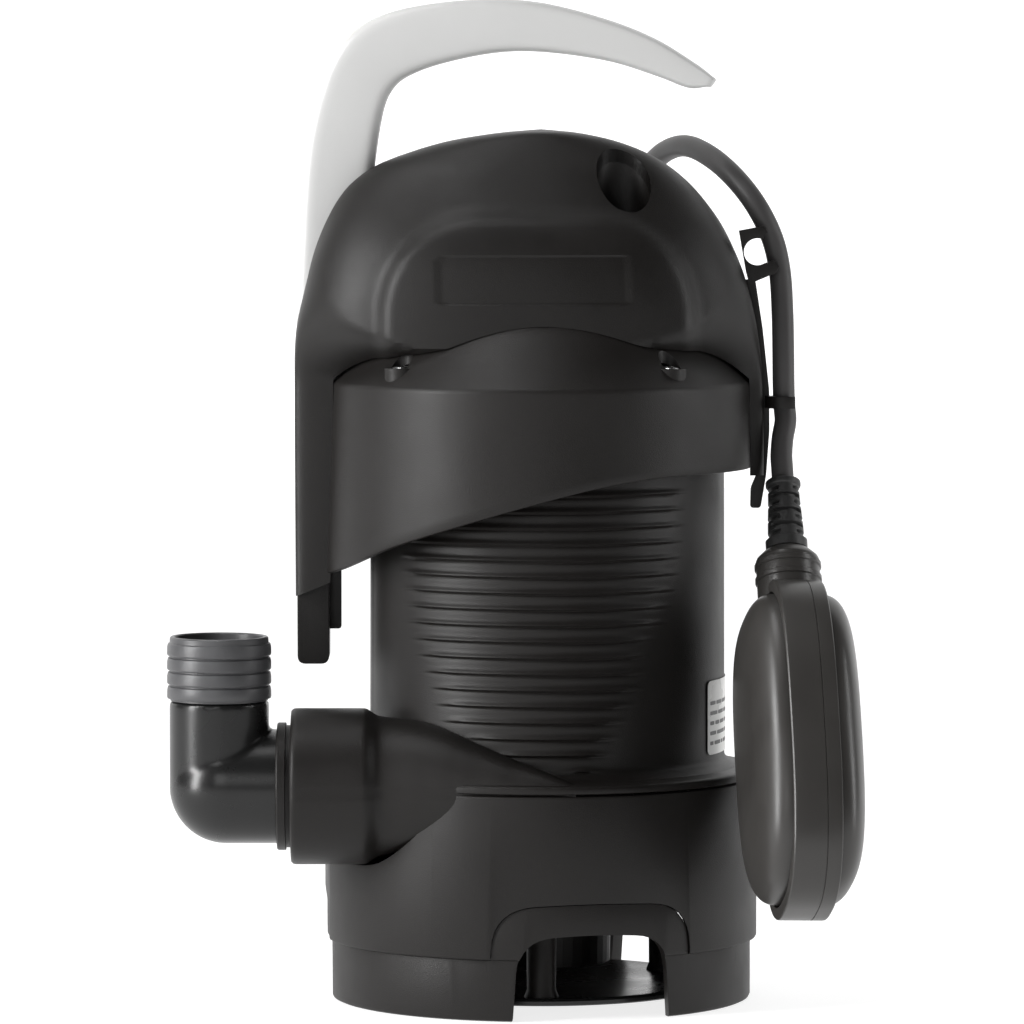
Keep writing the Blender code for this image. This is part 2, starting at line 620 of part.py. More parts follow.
def motor():
    low, high = STATOR_Z
    core = ring("stator_core", STATOR_R, ROTOR_R + 0.6, low, high, FINE, parent=MOTOR)
    finish(core, (0.25, 0.25, 0.26), 0.45, 1.0)
    for name, start in (("lower", low - GAP - 13), ("upper", high + GAP)):
        winding = turned(f"{name}_end_winding", (
            (52, start + 13), (55, start + 10), (55, start + 3), (52, start),
            (40, start), (37, start + 3), (37, start + 10), (40, start + 13)), MEDIUM, parent=MOTOR)
        finish(winding, COPPER, 0.4, 1.0)
    rotor = ring("rotor_core", ROTOR_R, SHAFT_R + GAP, low, high, MEDIUM, parent=MOTOR)
    finish(rotor, (0.35, 0.35, 0.36), 0.4, 1.0)
    shaft = turned("motor_shaft", ((0, 226), (SHAFT_R, 225), (SHAFT_R, 92), (SHAFT_R - 1.5, 91),
                                   (SHAFT_R - 1.5, 56), (0, 56)), SMALL, parent=MOTOR)
    finish(shaft, STEEL, 0.25, 1.0)
    bearing("lower", LOWER_BEARING_Z + GAP, 18, SHAFT_R + GAP)
    bearing("upper", UPPER_BEARING_Z + GAP, 16, SHAFT_R + GAP)
    carrier = turned("bearing_carrier", (
        (MOTOR_R - 4.4, 216), (MOTOR_R - 4.4, 212.6), (24, 212.6), (16.3, 212.6), (16.3, 225.6),
        (21, 225.6), (21, 216)), MEDIUM, parent=MOTOR)
    finish(carrier, (0.55, 0.55, 0.56), 0.4, 1.0)
    seal_plate = turned("seal_plate", (
        (43.6, 121.8), (43.6, 118), (12.6, 118), (12.6, 125.9), (18.3, 125.9), (18.3, 136),
        (22, 136), (22, 121.8)), MEDIUM, parent=MOTOR)
    finish(seal_plate, (0.5, 0.5, 0.5), 0.4, 1.0)
    lip = ring("lip_seal", 12.3, SHAFT_R + GAP, 118.4, 125, SMALL, parent=MOTOR)
    finish(lip, BLACK, 0.6)
    seat = ring("seal_seat", 14.7, SHAFT_R + GAP, BULKHEAD_Z[0] + 1.8, BULKHEAD_Z[1] - 0.2, SMALL,
                parent=MOTOR)
    finish(seat, (0.85, 0.85, 0.82), 0.2)
    head = ring("seal_head", 9.2, SHAFT_R + GAP, 92.2, BULKHEAD_Z[0] + 1.5, SMALL, parent=MOTOR)
    finish(head, (0.1, 0.1, 0.1), 0.4)
    turns, wire, radius = 3, 0.8, 11.2
    coil = [(radius * math.cos(a), radius * math.sin(a), 86.4 + 8.2 * a / (2 * math.pi * turns))
            for a in [2 * math.pi * i / 12 for i in range(12 * turns + 1)]]
    spring = tube("seal_spring", coil, wire, 1, parent=MOTOR)
    spring.data.materials.append(material("seal_spring", STEEL, 0.25, 1.0))
    cap = turned("motor_cap", (
        (0, 238), (MOTOR_R, 238), (MOTOR_R, MOTOR_TOP + GAP), (MOTOR_R - 4.4, MOTOR_TOP + GAP),
        (MOTOR_R - 4.4, 228.6), (MOTOR_R - 8, 228.6), (MOTOR_R - 8, 234.4), (0, 234.4)), FINE, parent=MOTOR)
    finish(cap, BLACK, 0.5)
    seal = ring("cap_o_ring", MOTOR_R - 4.05, MOTOR_R - 4.35, 229, 231, FINE, parent=MOTOR)
    finish(seal, BLACK, 0.5)


def impeller():
    low, high = 62.0, 84.0
    wheel = turned("impeller", ((54, high), (54, high - 3), (11, high - 4), (10, low),
                                (SHAFT_R - 1.2, low), (SHAFT_R - 1.2, high)), MEDIUM, parent=MOTOR)
    for number in range(6):
        sweep = [(9 + 44 * t, 14 * math.sin(1.4 * t)) for t in (0, 0.2, 0.4, 0.6, 0.8, 1.0)]
        outline = sweep + [(x + 0.4, y + 3.0) for x, y in reversed(sweep)]
        fuse(wheel, plate(f"blade_{number}", outline, low + 2, high - 2, parent=MOTOR, cutter=True,
                          rotation=(0, 0, 60 * number)))
    finish(wheel, (0.12, 0.12, 0.12), 0.5)
    nut = ring("impeller_nut", 8.0, SHAFT_R - 0.5, 57, low - GAP, 6, parent=MOTOR)
    finish(nut, STEEL, 0.3, 1.0)


def head_contents():
    capacitor = rod("capacitor", 16.5, 0, 62, SMALL, location=(-58, 18, 259), rotation=(0, 90, 0))
    finish(capacitor, (0.75, 0.75, 0.75), 0.4)
    strap = turned("capacitor_strap", ((18.2, 36), (18.2, 24), (16.9, 24), (16.9, 36)), SMALL,
                   location=(-58, 18, 259), rotation=(0, 90, 0))
    finish(strap, (0.2, 0.2, 0.2), 0.6)
    block = box("terminal_block", (14, 0, 240.5), (50, 18, 256), bevel=0.8)
    finish(block, (0.8, 0.8, 0.78), 0.5)


def glands():
    """Where the two leads enter the head: the float's lead and the blank power inlet."""
    for name, x in (("float_cable_gland", GLAND_X), ("power_cable_inlet", -GLAND_X)):
        gland = turned(name, (
            (6.6, 20), (8.6, 11), (9.2, 10), (9.2, 0), (CORD_R + 0.6, 0), (CORD_R + 0.6, 20)), SMALL,
            location=(x, GLAND_Y - 20, GLAND_Z), rotation=(-90, 0, 0))
        finish(gland, BLACK, 0.5)


motor()
impeller()
head_contents()
glands()


# ---------------------------------------------------------------- cord and float
def shell_outline(scale, count=24):
    """The float's outline across its width and down its length, a rounded oblong."""
    half_width, half_length, power = FLOAT_WIDTH / 2, FLOAT_LENGTH / 2, 2 / 2.7
    points = []
    for i in range(count):
        angle = 2 * math.pi * i / count
        across = math.copysign(abs(math.cos(angle)) ** power, math.cos(angle))
        along = math.copysign(abs(math.sin(angle)) ** power, math.sin(angle))
        inset = 1 - scale
        points.append((across * (half_width - inset * half_width),
                       along * (half_length - inset * half_width)))
    return points


def float_shell(name, side):
    """One bulged half of the float, open on the joint plane; its wall is solidified inwards."""
    steps = ((1.0, 0.0), (1.0, 0.30), (0.97, 0.52), (0.90, 0.72), (0.78, 0.87), (0.58, 0.96), (0.3, 1.0))
    height = FLOAT_THICK / 2 - BAND_HALF
    centre = -(FLOAT_TOP + FLOAT_LENGTH / 2)
    verts, faces = [], []
    for scale, rise in steps:
        out = side * (BAND_HALF + GAP + rise * (height - GAP))
        verts += [(out * MM, across * MM, (centre + along) * MM) for across, along in shell_outline(scale)]
    row = len(shell_outline(1.0))
    for level in range(len(steps) - 1):
        for i in range(row):
            a, b = level * row + i, level * row + (i + 1) % row
            faces.append((a, b, b + row, a + row) if side > 0 else (a + row, b + row, b, a))
    last = tuple(range(len(verts) - row, len(verts)))
    faces.append(last if side > 0 else last[::-1])
    mesh = bpy.data.meshes.new(name)
    mesh.from_pydata(verts, [], faces)
    shell = add(name, mesh, parent=FLOAT)
    wall = shell.modifiers.new("wall", "SOLIDIFY")
    wall.thickness = 2.0 * MM
    wall.offset = -1
    finish(shell, BLACK, 0.4)


def float_axis_rod(name, outline, steps=SMALL, **place):
    """A turned piece about the float's axis; heights are distances below the pivot."""
    flipped = [(radius, -drop) for radius, drop in outline]
    return turned(name, flipped, steps, parent=FLOAT, **place)


def float_switch():
    float_shell("float_shell_inner", -1)
    float_shell("float_shell_outer", 1)
    centre = -(FLOAT_TOP + FLOAT_LENGTH / 2)
    outer = [(x, centre + z) for x, z in shell_outline(1.0)]
    inner = [(x, centre + z) for x, z in shell_outline(0.94)]
    rim = plate("float_rim_band", outer, -BAND_HALF, BAND_HALF, parent=FLOAT, rotation=(90, 0, 90))
    opening = plate("rim_opening", inner, -20, 20, parent=FLOAT, rotation=(90, 0, 90), cutter=True)
    lead_way = float_axis_rod("lead_way", ((0, 40), (CORD_R + 2, 40), (CORD_R + 2, 70), (0, 70)), cutter=True)
    cut(rim, opening, lead_way)
    finish(rim, BLACK, 0.4)

    neck = float_axis_rod("float_neck", (
        (9, BOOT_END + GAP), (12.6, BOOT_END + 4), (12.6, FLOAT_TOP - 1.4), (6.4, FLOAT_TOP - 1.4),
        (6.4, BOOT_END + GAP)), MEDIUM)
    finish(neck, BLACK, 0.4)
    outline = [(5.4, BOOT_TOP)]
    for number in range(4):
        start = BOOT_TOP + 2 + number * 6.4
        width = 6.0 + 0.5 * number
        outline += [(width, start), (width, start + 2.6), (width - 1.2, start + 2.9),
                    (width - 1.2, start + 4.1)]
    outline += [(8.2, BOOT_END - 0.2), (CORD_R + GAP, BOOT_END - 0.2), (CORD_R + GAP, BOOT_TOP)]
    boot = float_axis_rod("float_boot", outline, SMALL)
    finish(boot, BLACK, 0.5)

    drop = FLOAT_TOP + 14
    case = box("microswitch", (-5.2, -10, -drop - 16), (5.2, 10, -drop), bevel=0.6, parent=FLOAT)
    finish(case, (0.1, 0.1, 0.12), 0.5)
    lever = box("switch_lever", (-4, -8, -drop - 21), (4, 8, -drop - 20), parent=FLOAT)
    finish(lever, STEEL, 0.3, 1.0)
    track = ring("ball_track", 12.0, 10.6, -drop - 92, -drop - 23, SMALL, parent=FLOAT)
    finish(track, (0.7, 0.7, 0.68), 0.4)
    weight = ball("float_ball", 10.0, (0, 0, -drop - 78), 14, 8, parent=FLOAT)
    finish(weight, STEEL, 0.15, 1.0)


def float_cord():
    fixed = smooth_route(CORD_ROUTE, 2.4 * CORD_R)
    lead = tube("float_cable_fixed", fixed, CORD_R, 2)
    lead.data.materials.append(material("float_cable", GREY, 0.5))
    stretch = [(0, 0, -CORD_R - GAP - step * (BOOT_END + 8 - CORD_R) / 4) for step in range(5)]
    swing = tube("float_cable_swing", stretch, CORD_R, 2, parent=FLOAT)
    swing.data.materials.append(material("float_cable_end", GREY, 0.5))


float_switch()
float_cord()
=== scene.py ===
"""Submersible sump pump: the visual model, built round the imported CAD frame."""
import json
import math

import bmesh
import bpy
import numpy as np
from mathutils import Euler, Matrix, Vector


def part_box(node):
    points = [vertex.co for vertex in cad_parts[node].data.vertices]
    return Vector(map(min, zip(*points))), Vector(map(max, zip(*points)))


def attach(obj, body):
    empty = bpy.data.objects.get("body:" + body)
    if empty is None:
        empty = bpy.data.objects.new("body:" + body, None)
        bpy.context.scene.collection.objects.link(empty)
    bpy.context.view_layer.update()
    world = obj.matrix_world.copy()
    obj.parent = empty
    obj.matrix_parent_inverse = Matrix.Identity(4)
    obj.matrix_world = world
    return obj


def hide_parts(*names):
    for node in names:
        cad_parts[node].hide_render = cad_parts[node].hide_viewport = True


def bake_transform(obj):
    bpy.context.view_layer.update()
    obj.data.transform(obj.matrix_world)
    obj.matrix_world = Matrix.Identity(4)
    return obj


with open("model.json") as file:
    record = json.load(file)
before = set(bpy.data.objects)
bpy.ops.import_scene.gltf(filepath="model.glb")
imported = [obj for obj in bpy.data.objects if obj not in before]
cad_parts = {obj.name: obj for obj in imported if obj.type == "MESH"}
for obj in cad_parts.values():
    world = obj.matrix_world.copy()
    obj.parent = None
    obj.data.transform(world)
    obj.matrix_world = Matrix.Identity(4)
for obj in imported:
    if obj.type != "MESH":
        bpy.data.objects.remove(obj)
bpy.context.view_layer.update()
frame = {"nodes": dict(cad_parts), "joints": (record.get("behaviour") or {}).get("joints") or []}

MM = 0.001

# The pump's axis, the motor's axis and the float's pivot, read from the frame
casing_low, casing_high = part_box("pump_housing")
stator_low, stator_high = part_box("stator_core")
AXIS = Vector(((casing_low[0] + casing_high[0]) / 2, (casing_low[1] + casing_high[1]) / 2, 0))
MOTOR_X = ((stator_low[0] + stator_high[0]) / 2 - AXIS.x) / MM
SWING = next(joint for joint in frame["joints"] if joint["name"] == "float_swing")
PIVOT = (Vector(SWING["pos_m"]) - AXIS) / MM

# Driving dimensions in millimetres, from the pump's axis, as in the CAD
CASING_R = 84.5
CASING_TOP = 86.8
FOOT_R = 82.0
FOOT_TOP = 23.5
FLANGE_TOP = 90.3
MOTOR_R, MOTOR_BORE = 69.0, 62.5
MOTOR_TOP = 232.0
OUTLET = (-46.0, 87.0)         # the outlet's Y and Z
BOSS_END = -96.3
SEAM_DEPTH, SEAM_WIDTH = 0.35, 0.018    # the mould seam along the boss: depth, and radians across
SPLIT_Y = -8.0
FLOAT_TOP, FLOAT_LENGTH, FLOAT_WIDTH, FLOAT_THICK = 56.0, 132.0, 76.0, 44.0
RIM_HALF = 9.5
CORD_R = 4.3


def put(node, **values):
    """Set a shader node's sockets; an underscore in a name stands for a space."""
    for name, value in values.items():
        node.inputs[name.replace("_", " ")].default_value = value


# ---------------------------------------------------------------- camera, light and floor
def studio():
    camera = bpy.data.cameras.new("camera")
    camera.lens = 261.4
    camera.clip_end = 20
    eye = bpy.data.objects.new("camera", camera)
    eye.location = AXIS + Vector((-11.3, -2900, 381)) * MM
    eye.rotation_euler = (math.radians(90 - 3.77), 0, 0)
    bpy.context.scene.collection.objects.link(eye)
    bpy.context.scene.camera = eye

    lights = (                 # name, place, width, height, power, aim
        ("key", (-1.9, -0.85, 0.8), 0.5, 1.8, 66, (0, 0, 0.2)),
        ("front", (-0.6, -2.4, 0.9), 0.9, 0.9, 7, (0, 0, 0.2)),
        ("side", (1.9, -0.25, 0.6), 0.30, 1.6, 14, (0, 0, 0.2)),
        ("top", (-0.5, -0.15, 1.9), 0.8, 0.5, 10, (0, 0, 0.3)),
    )
    for name, place, width, height, power, aim in lights:
        lamp = bpy.data.lights.new(name, "AREA")
        lamp.shape = "RECTANGLE"
        lamp.size, lamp.size_y = width, height
        lamp.energy = power
        holder = bpy.data.objects.new(name, lamp)
        holder.location = place
        holder.rotation_euler = (Vector(place) - Vector(aim)).to_track_quat("Z", "Y").to_euler()
        bpy.context.scene.collection.objects.link(holder)

    world = bpy.data.worlds.new("studio")
    world.use_nodes = True
    put(world.node_tree.nodes["Background"], Color=(1, 1, 1, 1), Strength=0.03)
    bpy.context.scene.world = world
    bpy.context.scene.view_settings.view_transform = "Standard"

    cards = (                  # a light table for the floor, and a lit sheet behind
        ("floor", (0, 0, 0), 0, 0.80),
        ("backdrop", (0, 3.2, 2.0), math.radians(90), 1.05),
    )
    for name, place, tilt, glow in cards:
        bpy.ops.mesh.primitive_plane_add(size=12, location=place, rotation=(tilt, 0, 0))
        card = bpy.context.object
        card.name = name
        paint = bpy.data.materials.new(name)
        paint.use_nodes = True
        put(paint.node_tree.nodes["Principled BSDF"], Base_Color=(0.35, 0.35, 0.35, 1),
            Roughness=0.9, Emission_Color=(1, 1, 1, 1), Emission_Strength=glow)
        card.data.materials.append(paint)


studio()


# ---------------------------------------------------------------- materials
def moulded(name, colour, roughness, grain=2600, bump=0.10, mottle=0.15, metallic=0.0, specular=0.5):
    """A moulded or rolled surface: fine grain in the bump, with faint colour and gloss changes."""
    made = bpy.data.materials.new(name)
    made.use_nodes = True
    nodes, links = made.node_tree.nodes, made.node_tree.links
    shader = nodes["Principled BSDF"]
    place = nodes.new("ShaderNodeTexCoord")

    cloud = nodes.new("ShaderNodeTexNoise")
    put(cloud, Scale=38, Detail=5)
    links.new(place.outputs["Object"], cloud.inputs["Vector"])
    tint = nodes.new("ShaderNodeMix")
    tint.data_type = "RGBA"
    put(tint, A=(*[c * (1 - mottle) for c in colour], 1),
        B=(*[min(1, c * (1 + mottle)) for c in colour], 1))
    links.new(cloud.outputs["Fac"], tint.inputs["Factor"])
    links.new(tint.outputs["Result"], shader.inputs["Base Color"])

    fine = nodes.new("ShaderNodeTexNoise")
    put(fine, Scale=grain, Detail=3)
    links.new(place.outputs["Object"], fine.inputs["Vector"])
    gloss = nodes.new("ShaderNodeMapRange")
    put(gloss, From_Min=0.3, From_Max=0.7, To_Min=max(0.02, roughness - 0.05),
        To_Max=min(1, roughness + 0.05))
    links.new(cloud.outputs["Fac"], gloss.inputs["Value"])
    links.new(gloss.outputs["Result"], shader.inputs["Roughness"])
    relief = nodes.new("ShaderNodeBump")
    put(relief, Strength=bump, Distance=0.0002)
    links.new(fine.outputs["Fac"], relief.inputs["Height"])
    links.new(relief.outputs["Normal"], shader.inputs["Normal"])
    put(shader, Metallic=metallic, Specular_IOR_Level=specular)
    return made


BLACK = moulded("black_plastic", (0.0072, 0.0061, 0.0055), 0.47, bump=0.40, specular=0.30)
COWL = moulded("cowl_plastic", (0.0062, 0.0053, 0.0048), 0.46, bump=0.40, specular=0.30)
FLOAT_SKIN = moulded("float_plastic", (0.034, 0.0320, 0.0300), 0.36, grain=1500, bump=0.08)
GLOSS = moulded("gloss_plastic", (0.009, 0.009, 0.009), 0.27, grain=300, bump=0.03, specular=0.40)
BARB = moulded("barb_plastic", (0.060, 0.060, 0.063), 0.42, bump=0.2)
SILVER = moulded("handle_plastic", (0.52, 0.52, 0.515), 0.40, grain=3000, bump=0.12, mottle=0.03)
RUBBER = moulded("grey_rubber", (0.045, 0.043, 0.043), 0.52, grain=1800, bump=0.25)
BOOT = moulded("boot_rubber", (0.020, 0.020, 0.020), 0.50, grain=1800, bump=0.2)
STEEL = moulded("zinc_steel", (0.60, 0.60, 0.60), 0.24, grain=900, bump=0.1, mottle=0.08, metallic=1.0)
CORE = moulded("steel_laminations", (0.24, 0.24, 0.25), 0.42, grain=900, bump=0.3, metallic=1.0)
COPPER = moulded("copper_wire", (0.62, 0.25, 0.11), 0.35, grain=700, bump=0.6, metallic=1.0)
CAST = moulded("cast_aluminium", (0.55, 0.55, 0.56), 0.45, grain=900, bump=0.4, metallic=1.0)
BRONZE = moulded("bearing_cage", (0.55, 0.40, 0.18), 0.35, grain=900, bump=0.1, metallic=1.0)
SEAL = moulded("nitrile", (0.015, 0.015, 0.015), 0.55, grain=1500, bump=0.2)
CERAMIC = moulded("ceramic", (0.82, 0.81, 0.78), 0.18, grain=900, bump=0.03, mottle=0.03)
NYLON = moulded("white_nylon", (0.74, 0.73, 0.68), 0.45, grain=1200, bump=0.1, mottle=0.04)
WHEEL = moulded("glass_filled_plastic", (0.06, 0.06, 0.062), 0.45, grain=1200, bump=0.4)
FILM = moulded("label_film", (0.72, 0.72, 0.70), 0.30, grain=2000, bump=0.03, mottle=0.03)
INK = moulded("label_ink", (0.10, 0.10, 0.10), 0.5, grain=2000, bump=0.05)


# ---------------------------------------------------------------- mesh helpers
def stand_for(node):
    """Hide a CAD node whose place a new piece takes."""
    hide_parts(node)


def build(name, verts, faces, skin, angle=35, body="root", where=None):
    """A piece from points in millimetres about the pump's axis (or through a matrix)."""
    mesh = bpy.data.meshes.new(name)
    points = [Vector(vert) for vert in verts]
    if where is not None:
        points = [where @ point for point in points]
    mesh.from_pydata([AXIS + point * MM for point in points], [], faces)
    shape = bmesh.new()
    shape.from_mesh(mesh)
    bmesh.ops.remove_doubles(shape, verts=shape.verts, dist=0.000002)
    bmesh.ops.recalc_face_normals(shape, faces=shape.faces)
    shape.to_mesh(mesh)
    shape.free()
    mesh.materials.append(skin)
    made = bpy.data.objects.new(name, mesh)
    bpy.context.scene.collection.objects.link(made)
    smooth(made, angle)
    if body:
        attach(made, body)
    return made


def smooth(made, angle=35):
    """Shade smooth, with edges over the angle kept sharp."""
    made.data.shade_smooth()
    made.data.set_sharp_from_angle(angle=math.radians(angle))


def apply(made, angle=35):
    """Turn the evaluated modifiers into the mesh itself."""
    evaluated = made.evaluated_get(bpy.context.evaluated_depsgraph_get())
    mesh = bpy.data.meshes.new_from_object(evaluated)
    made.modifiers.clear()
    made.data = mesh
    smooth(made, angle)
    return made


def combine(made, other, operation="DIFFERENCE", angle=35):
    """Apply a Boolean with another piece and remove that piece."""
    step = made.modifiers.new("boolean", "BOOLEAN")
    step.operation = operation
    step.solver = "EXACT"
    step.object = other
    apply(made, angle)
    bpy.data.objects.remove(other, do_unlink=True)


def bevelled(made, width, segments=3, limit=30, angle=35):
    edge = made.modifiers.new("edges", "BEVEL")
    edge.width = width * MM
    edge.segments = segments
    edge.limit_method = "ANGLE"
    edge.angle_limit = math.radians(limit)
    edge.use_clamp_overlap = True
    return apply(made, angle)


def grid_faces(rows, columns, wrap=False):
    faces = []
    for row in range(rows - 1):
        for column in range(columns if wrap else columns - 1):
            a, b = row * columns + column, row * columns + (column + 1) % columns
            faces.append((a, b, b + columns, a + columns))
    return faces


def end_faces(total, sides):
    """The first and the last ring of a lofted form, as one face each."""
    return [tuple(range(sides)), tuple(range(total - sides, total))]


def turned(name, outline, skin, steps=96, centre=(0, 0, 0), body="root", where=None):
    """A turned solid; the outline of (radius, height) closes on itself or on the axis."""
    verts, faces = [], []
    count = len(outline)
    turn = Matrix.Translation(centre)
    if where is not None:
        turn = where @ turn
    closed = outline[0][0] > 0 or outline[-1][0] > 0
    for step in range(steps):
        a = 2 * math.pi * step / steps
        verts += [(radius * math.cos(a), radius * math.sin(a), z) for radius, z in outline]
    for step in range(steps):
        after = (step + 1) % steps
        for i in range(count if closed else count - 1):
            j = (i + 1) % count
            corners = [step * count + i, after * count + i, after * count + j, step * count + j]
            if outline[i][0] < 1e-6:
                corners = [corners[0], corners[2], corners[3]]
            elif outline[j][0] < 1e-6:
                corners = corners[:3]
            faces.append(tuple(corners))
    return build(name, verts, faces, skin, body=body, where=turn)


def rounded(points, radius, count=4):
    """The same outline with its corners rounded; points may carry their own radius."""
    made = []
    total = len(points)
    for i, point in enumerate(points):
        corner = point[2] if len(point) > 2 else radius
        here = Vector(point[:2])
        back, ahead = Vector(points[i - 1][:2]) - here, Vector(points[(i + 1) % total][:2]) - here
        reach = min(corner, back.length * 0.45, ahead.length * 0.45)
        if reach < 1e-4:
            made.append(tuple(here))
            continue
        start, end = here + back.normalized() * reach, here + ahead.normalized() * reach
        for k in range(count + 1):
            t = k / count
            made.append(tuple(start * (1 - t) ** 2 + here * 2 * t * (1 - t) + end * t * t))
    return made


def prism(name, outline, low, high, skin, upright=False, body="root", where=None):
    """A flat outline given thickness, in XY over Z or upright in XZ over Y."""
    count = len(outline)
    if upright:
        verts = [(x, y, z) for y in (low, high) for x, z in outline]
    else:
        verts = [(x, y, z) for z in (low, high) for x, y in outline]
    faces = [tuple(range(count)), tuple(range(count, 2 * count))]
    faces += [(i, (i + 1) % count, count + (i + 1) % count, count + i) for i in range(count)]
    return build(name, verts, faces, skin, body=body, where=where)


def spline(points, count):
    """Evenly spaced points on a smooth (Catmull-Rom) curve through the given ones."""
    places = [Vector(point) for point in points]
    ends = [places[0] * 2 - places[1]] + places + [places[-1] * 2 - places[-2]]
    fine = []
    for before, start, end, after in zip(ends, ends[1:], ends[2:], ends[3:]):
        for i in range(24):
            t = i / 24
            fine.append(0.5 * (2 * start + (end - before) * t
                               + (2 * before - 5 * start + 4 * end - after) * t * t
                               + (3 * start - before - 3 * end + after) * t ** 3))
    fine.append(places[-1])
    lengths = [0.0]
    for a, b in zip(fine, fine[1:]):
        lengths.append(lengths[-1] + (b - a).length)
    made, at = [], 0
    for k in range(count):
        goal = lengths[-1] * k / (count - 1)
        while at < len(lengths) - 2 and lengths[at + 1] < goal:
            at += 1
        span = lengths[at + 1] - lengths[at]
        t = 0 if span < 1e-12 else (goal - lengths[at]) / span
        made.append(fine[at].lerp(fine[at + 1], min(1, max(0, t))))
    return made


def tube(name, path, radius, skin, sides=24, body="root"):
    """A closed round tube along a path; radius may be a function of the place along it, 0 to 1."""
    points = [Vector(point) for point in path]
    tangents = [(b - a).normalized()
                for a, b in zip([points[0]] + points, points[1:] + [points[-1]])]
    tangents[0] = (points[1] - points[0]).normalized()
    tangents[-1] = (points[-1] - points[-2]).normalized()
    side = tangents[0].orthogonal().normalized()
    verts = []
    for k, (point, tangent) in enumerate(zip(points, tangents)):
        side = (side - tangent * side.dot(tangent)).normalized()
        other = tangent.cross(side)
        size = radius(k / (len(points) - 1)) if callable(radius) else radius
        for i in range(sides):
            a = 2 * math.pi * i / sides
            verts.append(point + (side * math.cos(a) + other * math.sin(a)) * size)
    faces = grid_faces(len(points), sides, wrap=True)
    faces += end_faces(len(verts), sides)
    return build(name, verts, faces, skin, 40, body)


def step_up(value, low, high):
    """0 below low, 1 above high, and smooth between."""
    t = min(1.0, max(0.0, (value - low) / (high - low)))
    return t * t * (3 - 2 * t)


def arc(centre, radius, start, end, count):
    """Points along an arc, its angles in degrees from the first axis."""
    angles = [math.radians(start + (end - start) * i / (count - 1)) for i in range(count)]
    return [(centre[0] + radius * math.cos(a), centre[1] + radius * math.sin(a)) for a in angles]


# ---------------------------------------------------------------- foot and pump casing
ARCH_ANGLES = (14.5, 134.5, 254.5)
COLLAR = (38.5, 44.7, 2.0, 16)          # half width, top, slope of the sides, corner radius
SHADOW_GAP = 0.4                        # between the collars and the casing above them
PLATE_LOW, PLATE_TOP = 4.0, 6.4
POST_ANGLES, POST_AT = (0, 120, 240), 56


def turned_block(name, outline, angle):
    """An upright block with the given front outline, standing out of the axis at an angle."""
    return prism(name, outline, -130, -50, BLACK, upright=True, body=None,
                 where=Matrix.Rotation(math.radians(angle), 4, "Z"))


def arch_outline(half_width, top, slope, radius=13):
    """An arch with leaning sides and a gently crowned top."""
    foot = half_width + slope
    points = [(-foot, -8, 0), (foot, -8, 0), (half_width, top - 1.2, radius), (0, top + 0.8, 50),
              (-half_width, top - 1.2, radius)]
    return rounded(points, radius, 8)


def foot():
    wall = FOOT_R - 5
    ring = turned("foot_ring_shape", [
        (FOOT_R + 1.7, 48), (FOOT_R + 1.7, 25.5), (FOOT_R + 1.0, 24.0), (FOOT_R, FOOT_TOP),
        (FOOT_R, 1.6), (FOOT_R - 0.5, 0.5), (FOOT_R - 1.6, 0), (wall, 0), (wall, 48)], BLACK, 192)
    # Keep the collars round the arches, and everything below the step
    keep = turned("foot_keep", [(0, FOOT_TOP), (120, FOOT_TOP), (120, -5), (0, -5)], BLACK, 48,
                  body=None)
    for number, angle in enumerate(ARCH_ANGLES):
        collar = turned_block(f"collar_{number}", arch_outline(*COLLAR), angle)
        combine(keep, collar, "UNION")
    combine(ring, keep, "INTERSECT")
    for number, angle in enumerate(ARCH_ANGLES):
        combine(ring, turned_block(f"arch_{number}", arch_outline(29.0, 33.0, 2.5), angle))
    ring = bevelled(ring, 0.7, 3, 38)
    ring.name = "foot_ring_visual"
    stand_for("foot_ring")

    low, high = PLATE_LOW, PLATE_TOP
    disc = turned("bottom_plate_visual", [
        (0, high), (61.5, high), (63, high + 0.5), (64.2, high + 0.4), (65, high - 0.6),
        (65, low + 0.5), (64.4, low), (0, low)], GLOSS, 128)
    stand_for("bottom_plate")
    for number, angle in enumerate(POST_ANGLES):
        place = Matrix.Rotation(math.radians(angle), 4, "Z") @ Matrix.Translation((0, -POST_AT, 0))
        post = turned(f"plate_post_{number + 1}", [
            (0, 49.5), (6.0, 49.5), (5.6, high + 3), (6.6, high + 0.6), (6.6, high + 0.05),
            (0, high + 0.05)], BLACK, 40, where=place)


def casing():
    low = FOOT_TOP + 0.3
    half_width, top, slope, corner = COLLAR
    space = arch_outline(half_width + SHADOW_GAP, top + SHADOW_GAP, slope, corner + SHADOW_GAP)
    shell = turned("pump_housing_visual", [
        (CASING_R - 0.9, CASING_TOP), (CASING_R - 0.2, CASING_TOP - 0.4),
        (CASING_R, CASING_TOP - 1.2), (CASING_R, low + 1.0), (CASING_R - 0.3, low + 0.3),
        (CASING_R - 1.0, low), (CASING_R - 2.4, low), (CASING_R - 2.4, 48), (70, 48), (70, 49.6),
        (CASING_R - 3.4, 49.6), (CASING_R - 3.4, CASING_TOP)], BLACK, 192)
    for number, angle in enumerate(ARCH_ANGLES):
        combine(shell, turned_block(f"casing_arch_{number}", space, angle))
    y, z = OUTLET
    mouth = tube("mouth", [(-130, y, z), (-62, y, z), (-38, y - 4, z)],
                 lambda t: 30.6 if t < 0.6 else 24.8, BLACK, 64, body=None)
    combine(shell, mouth)
    shell = bevelled(shell, 0.5, 2, 38)
    stand_for("pump_housing")


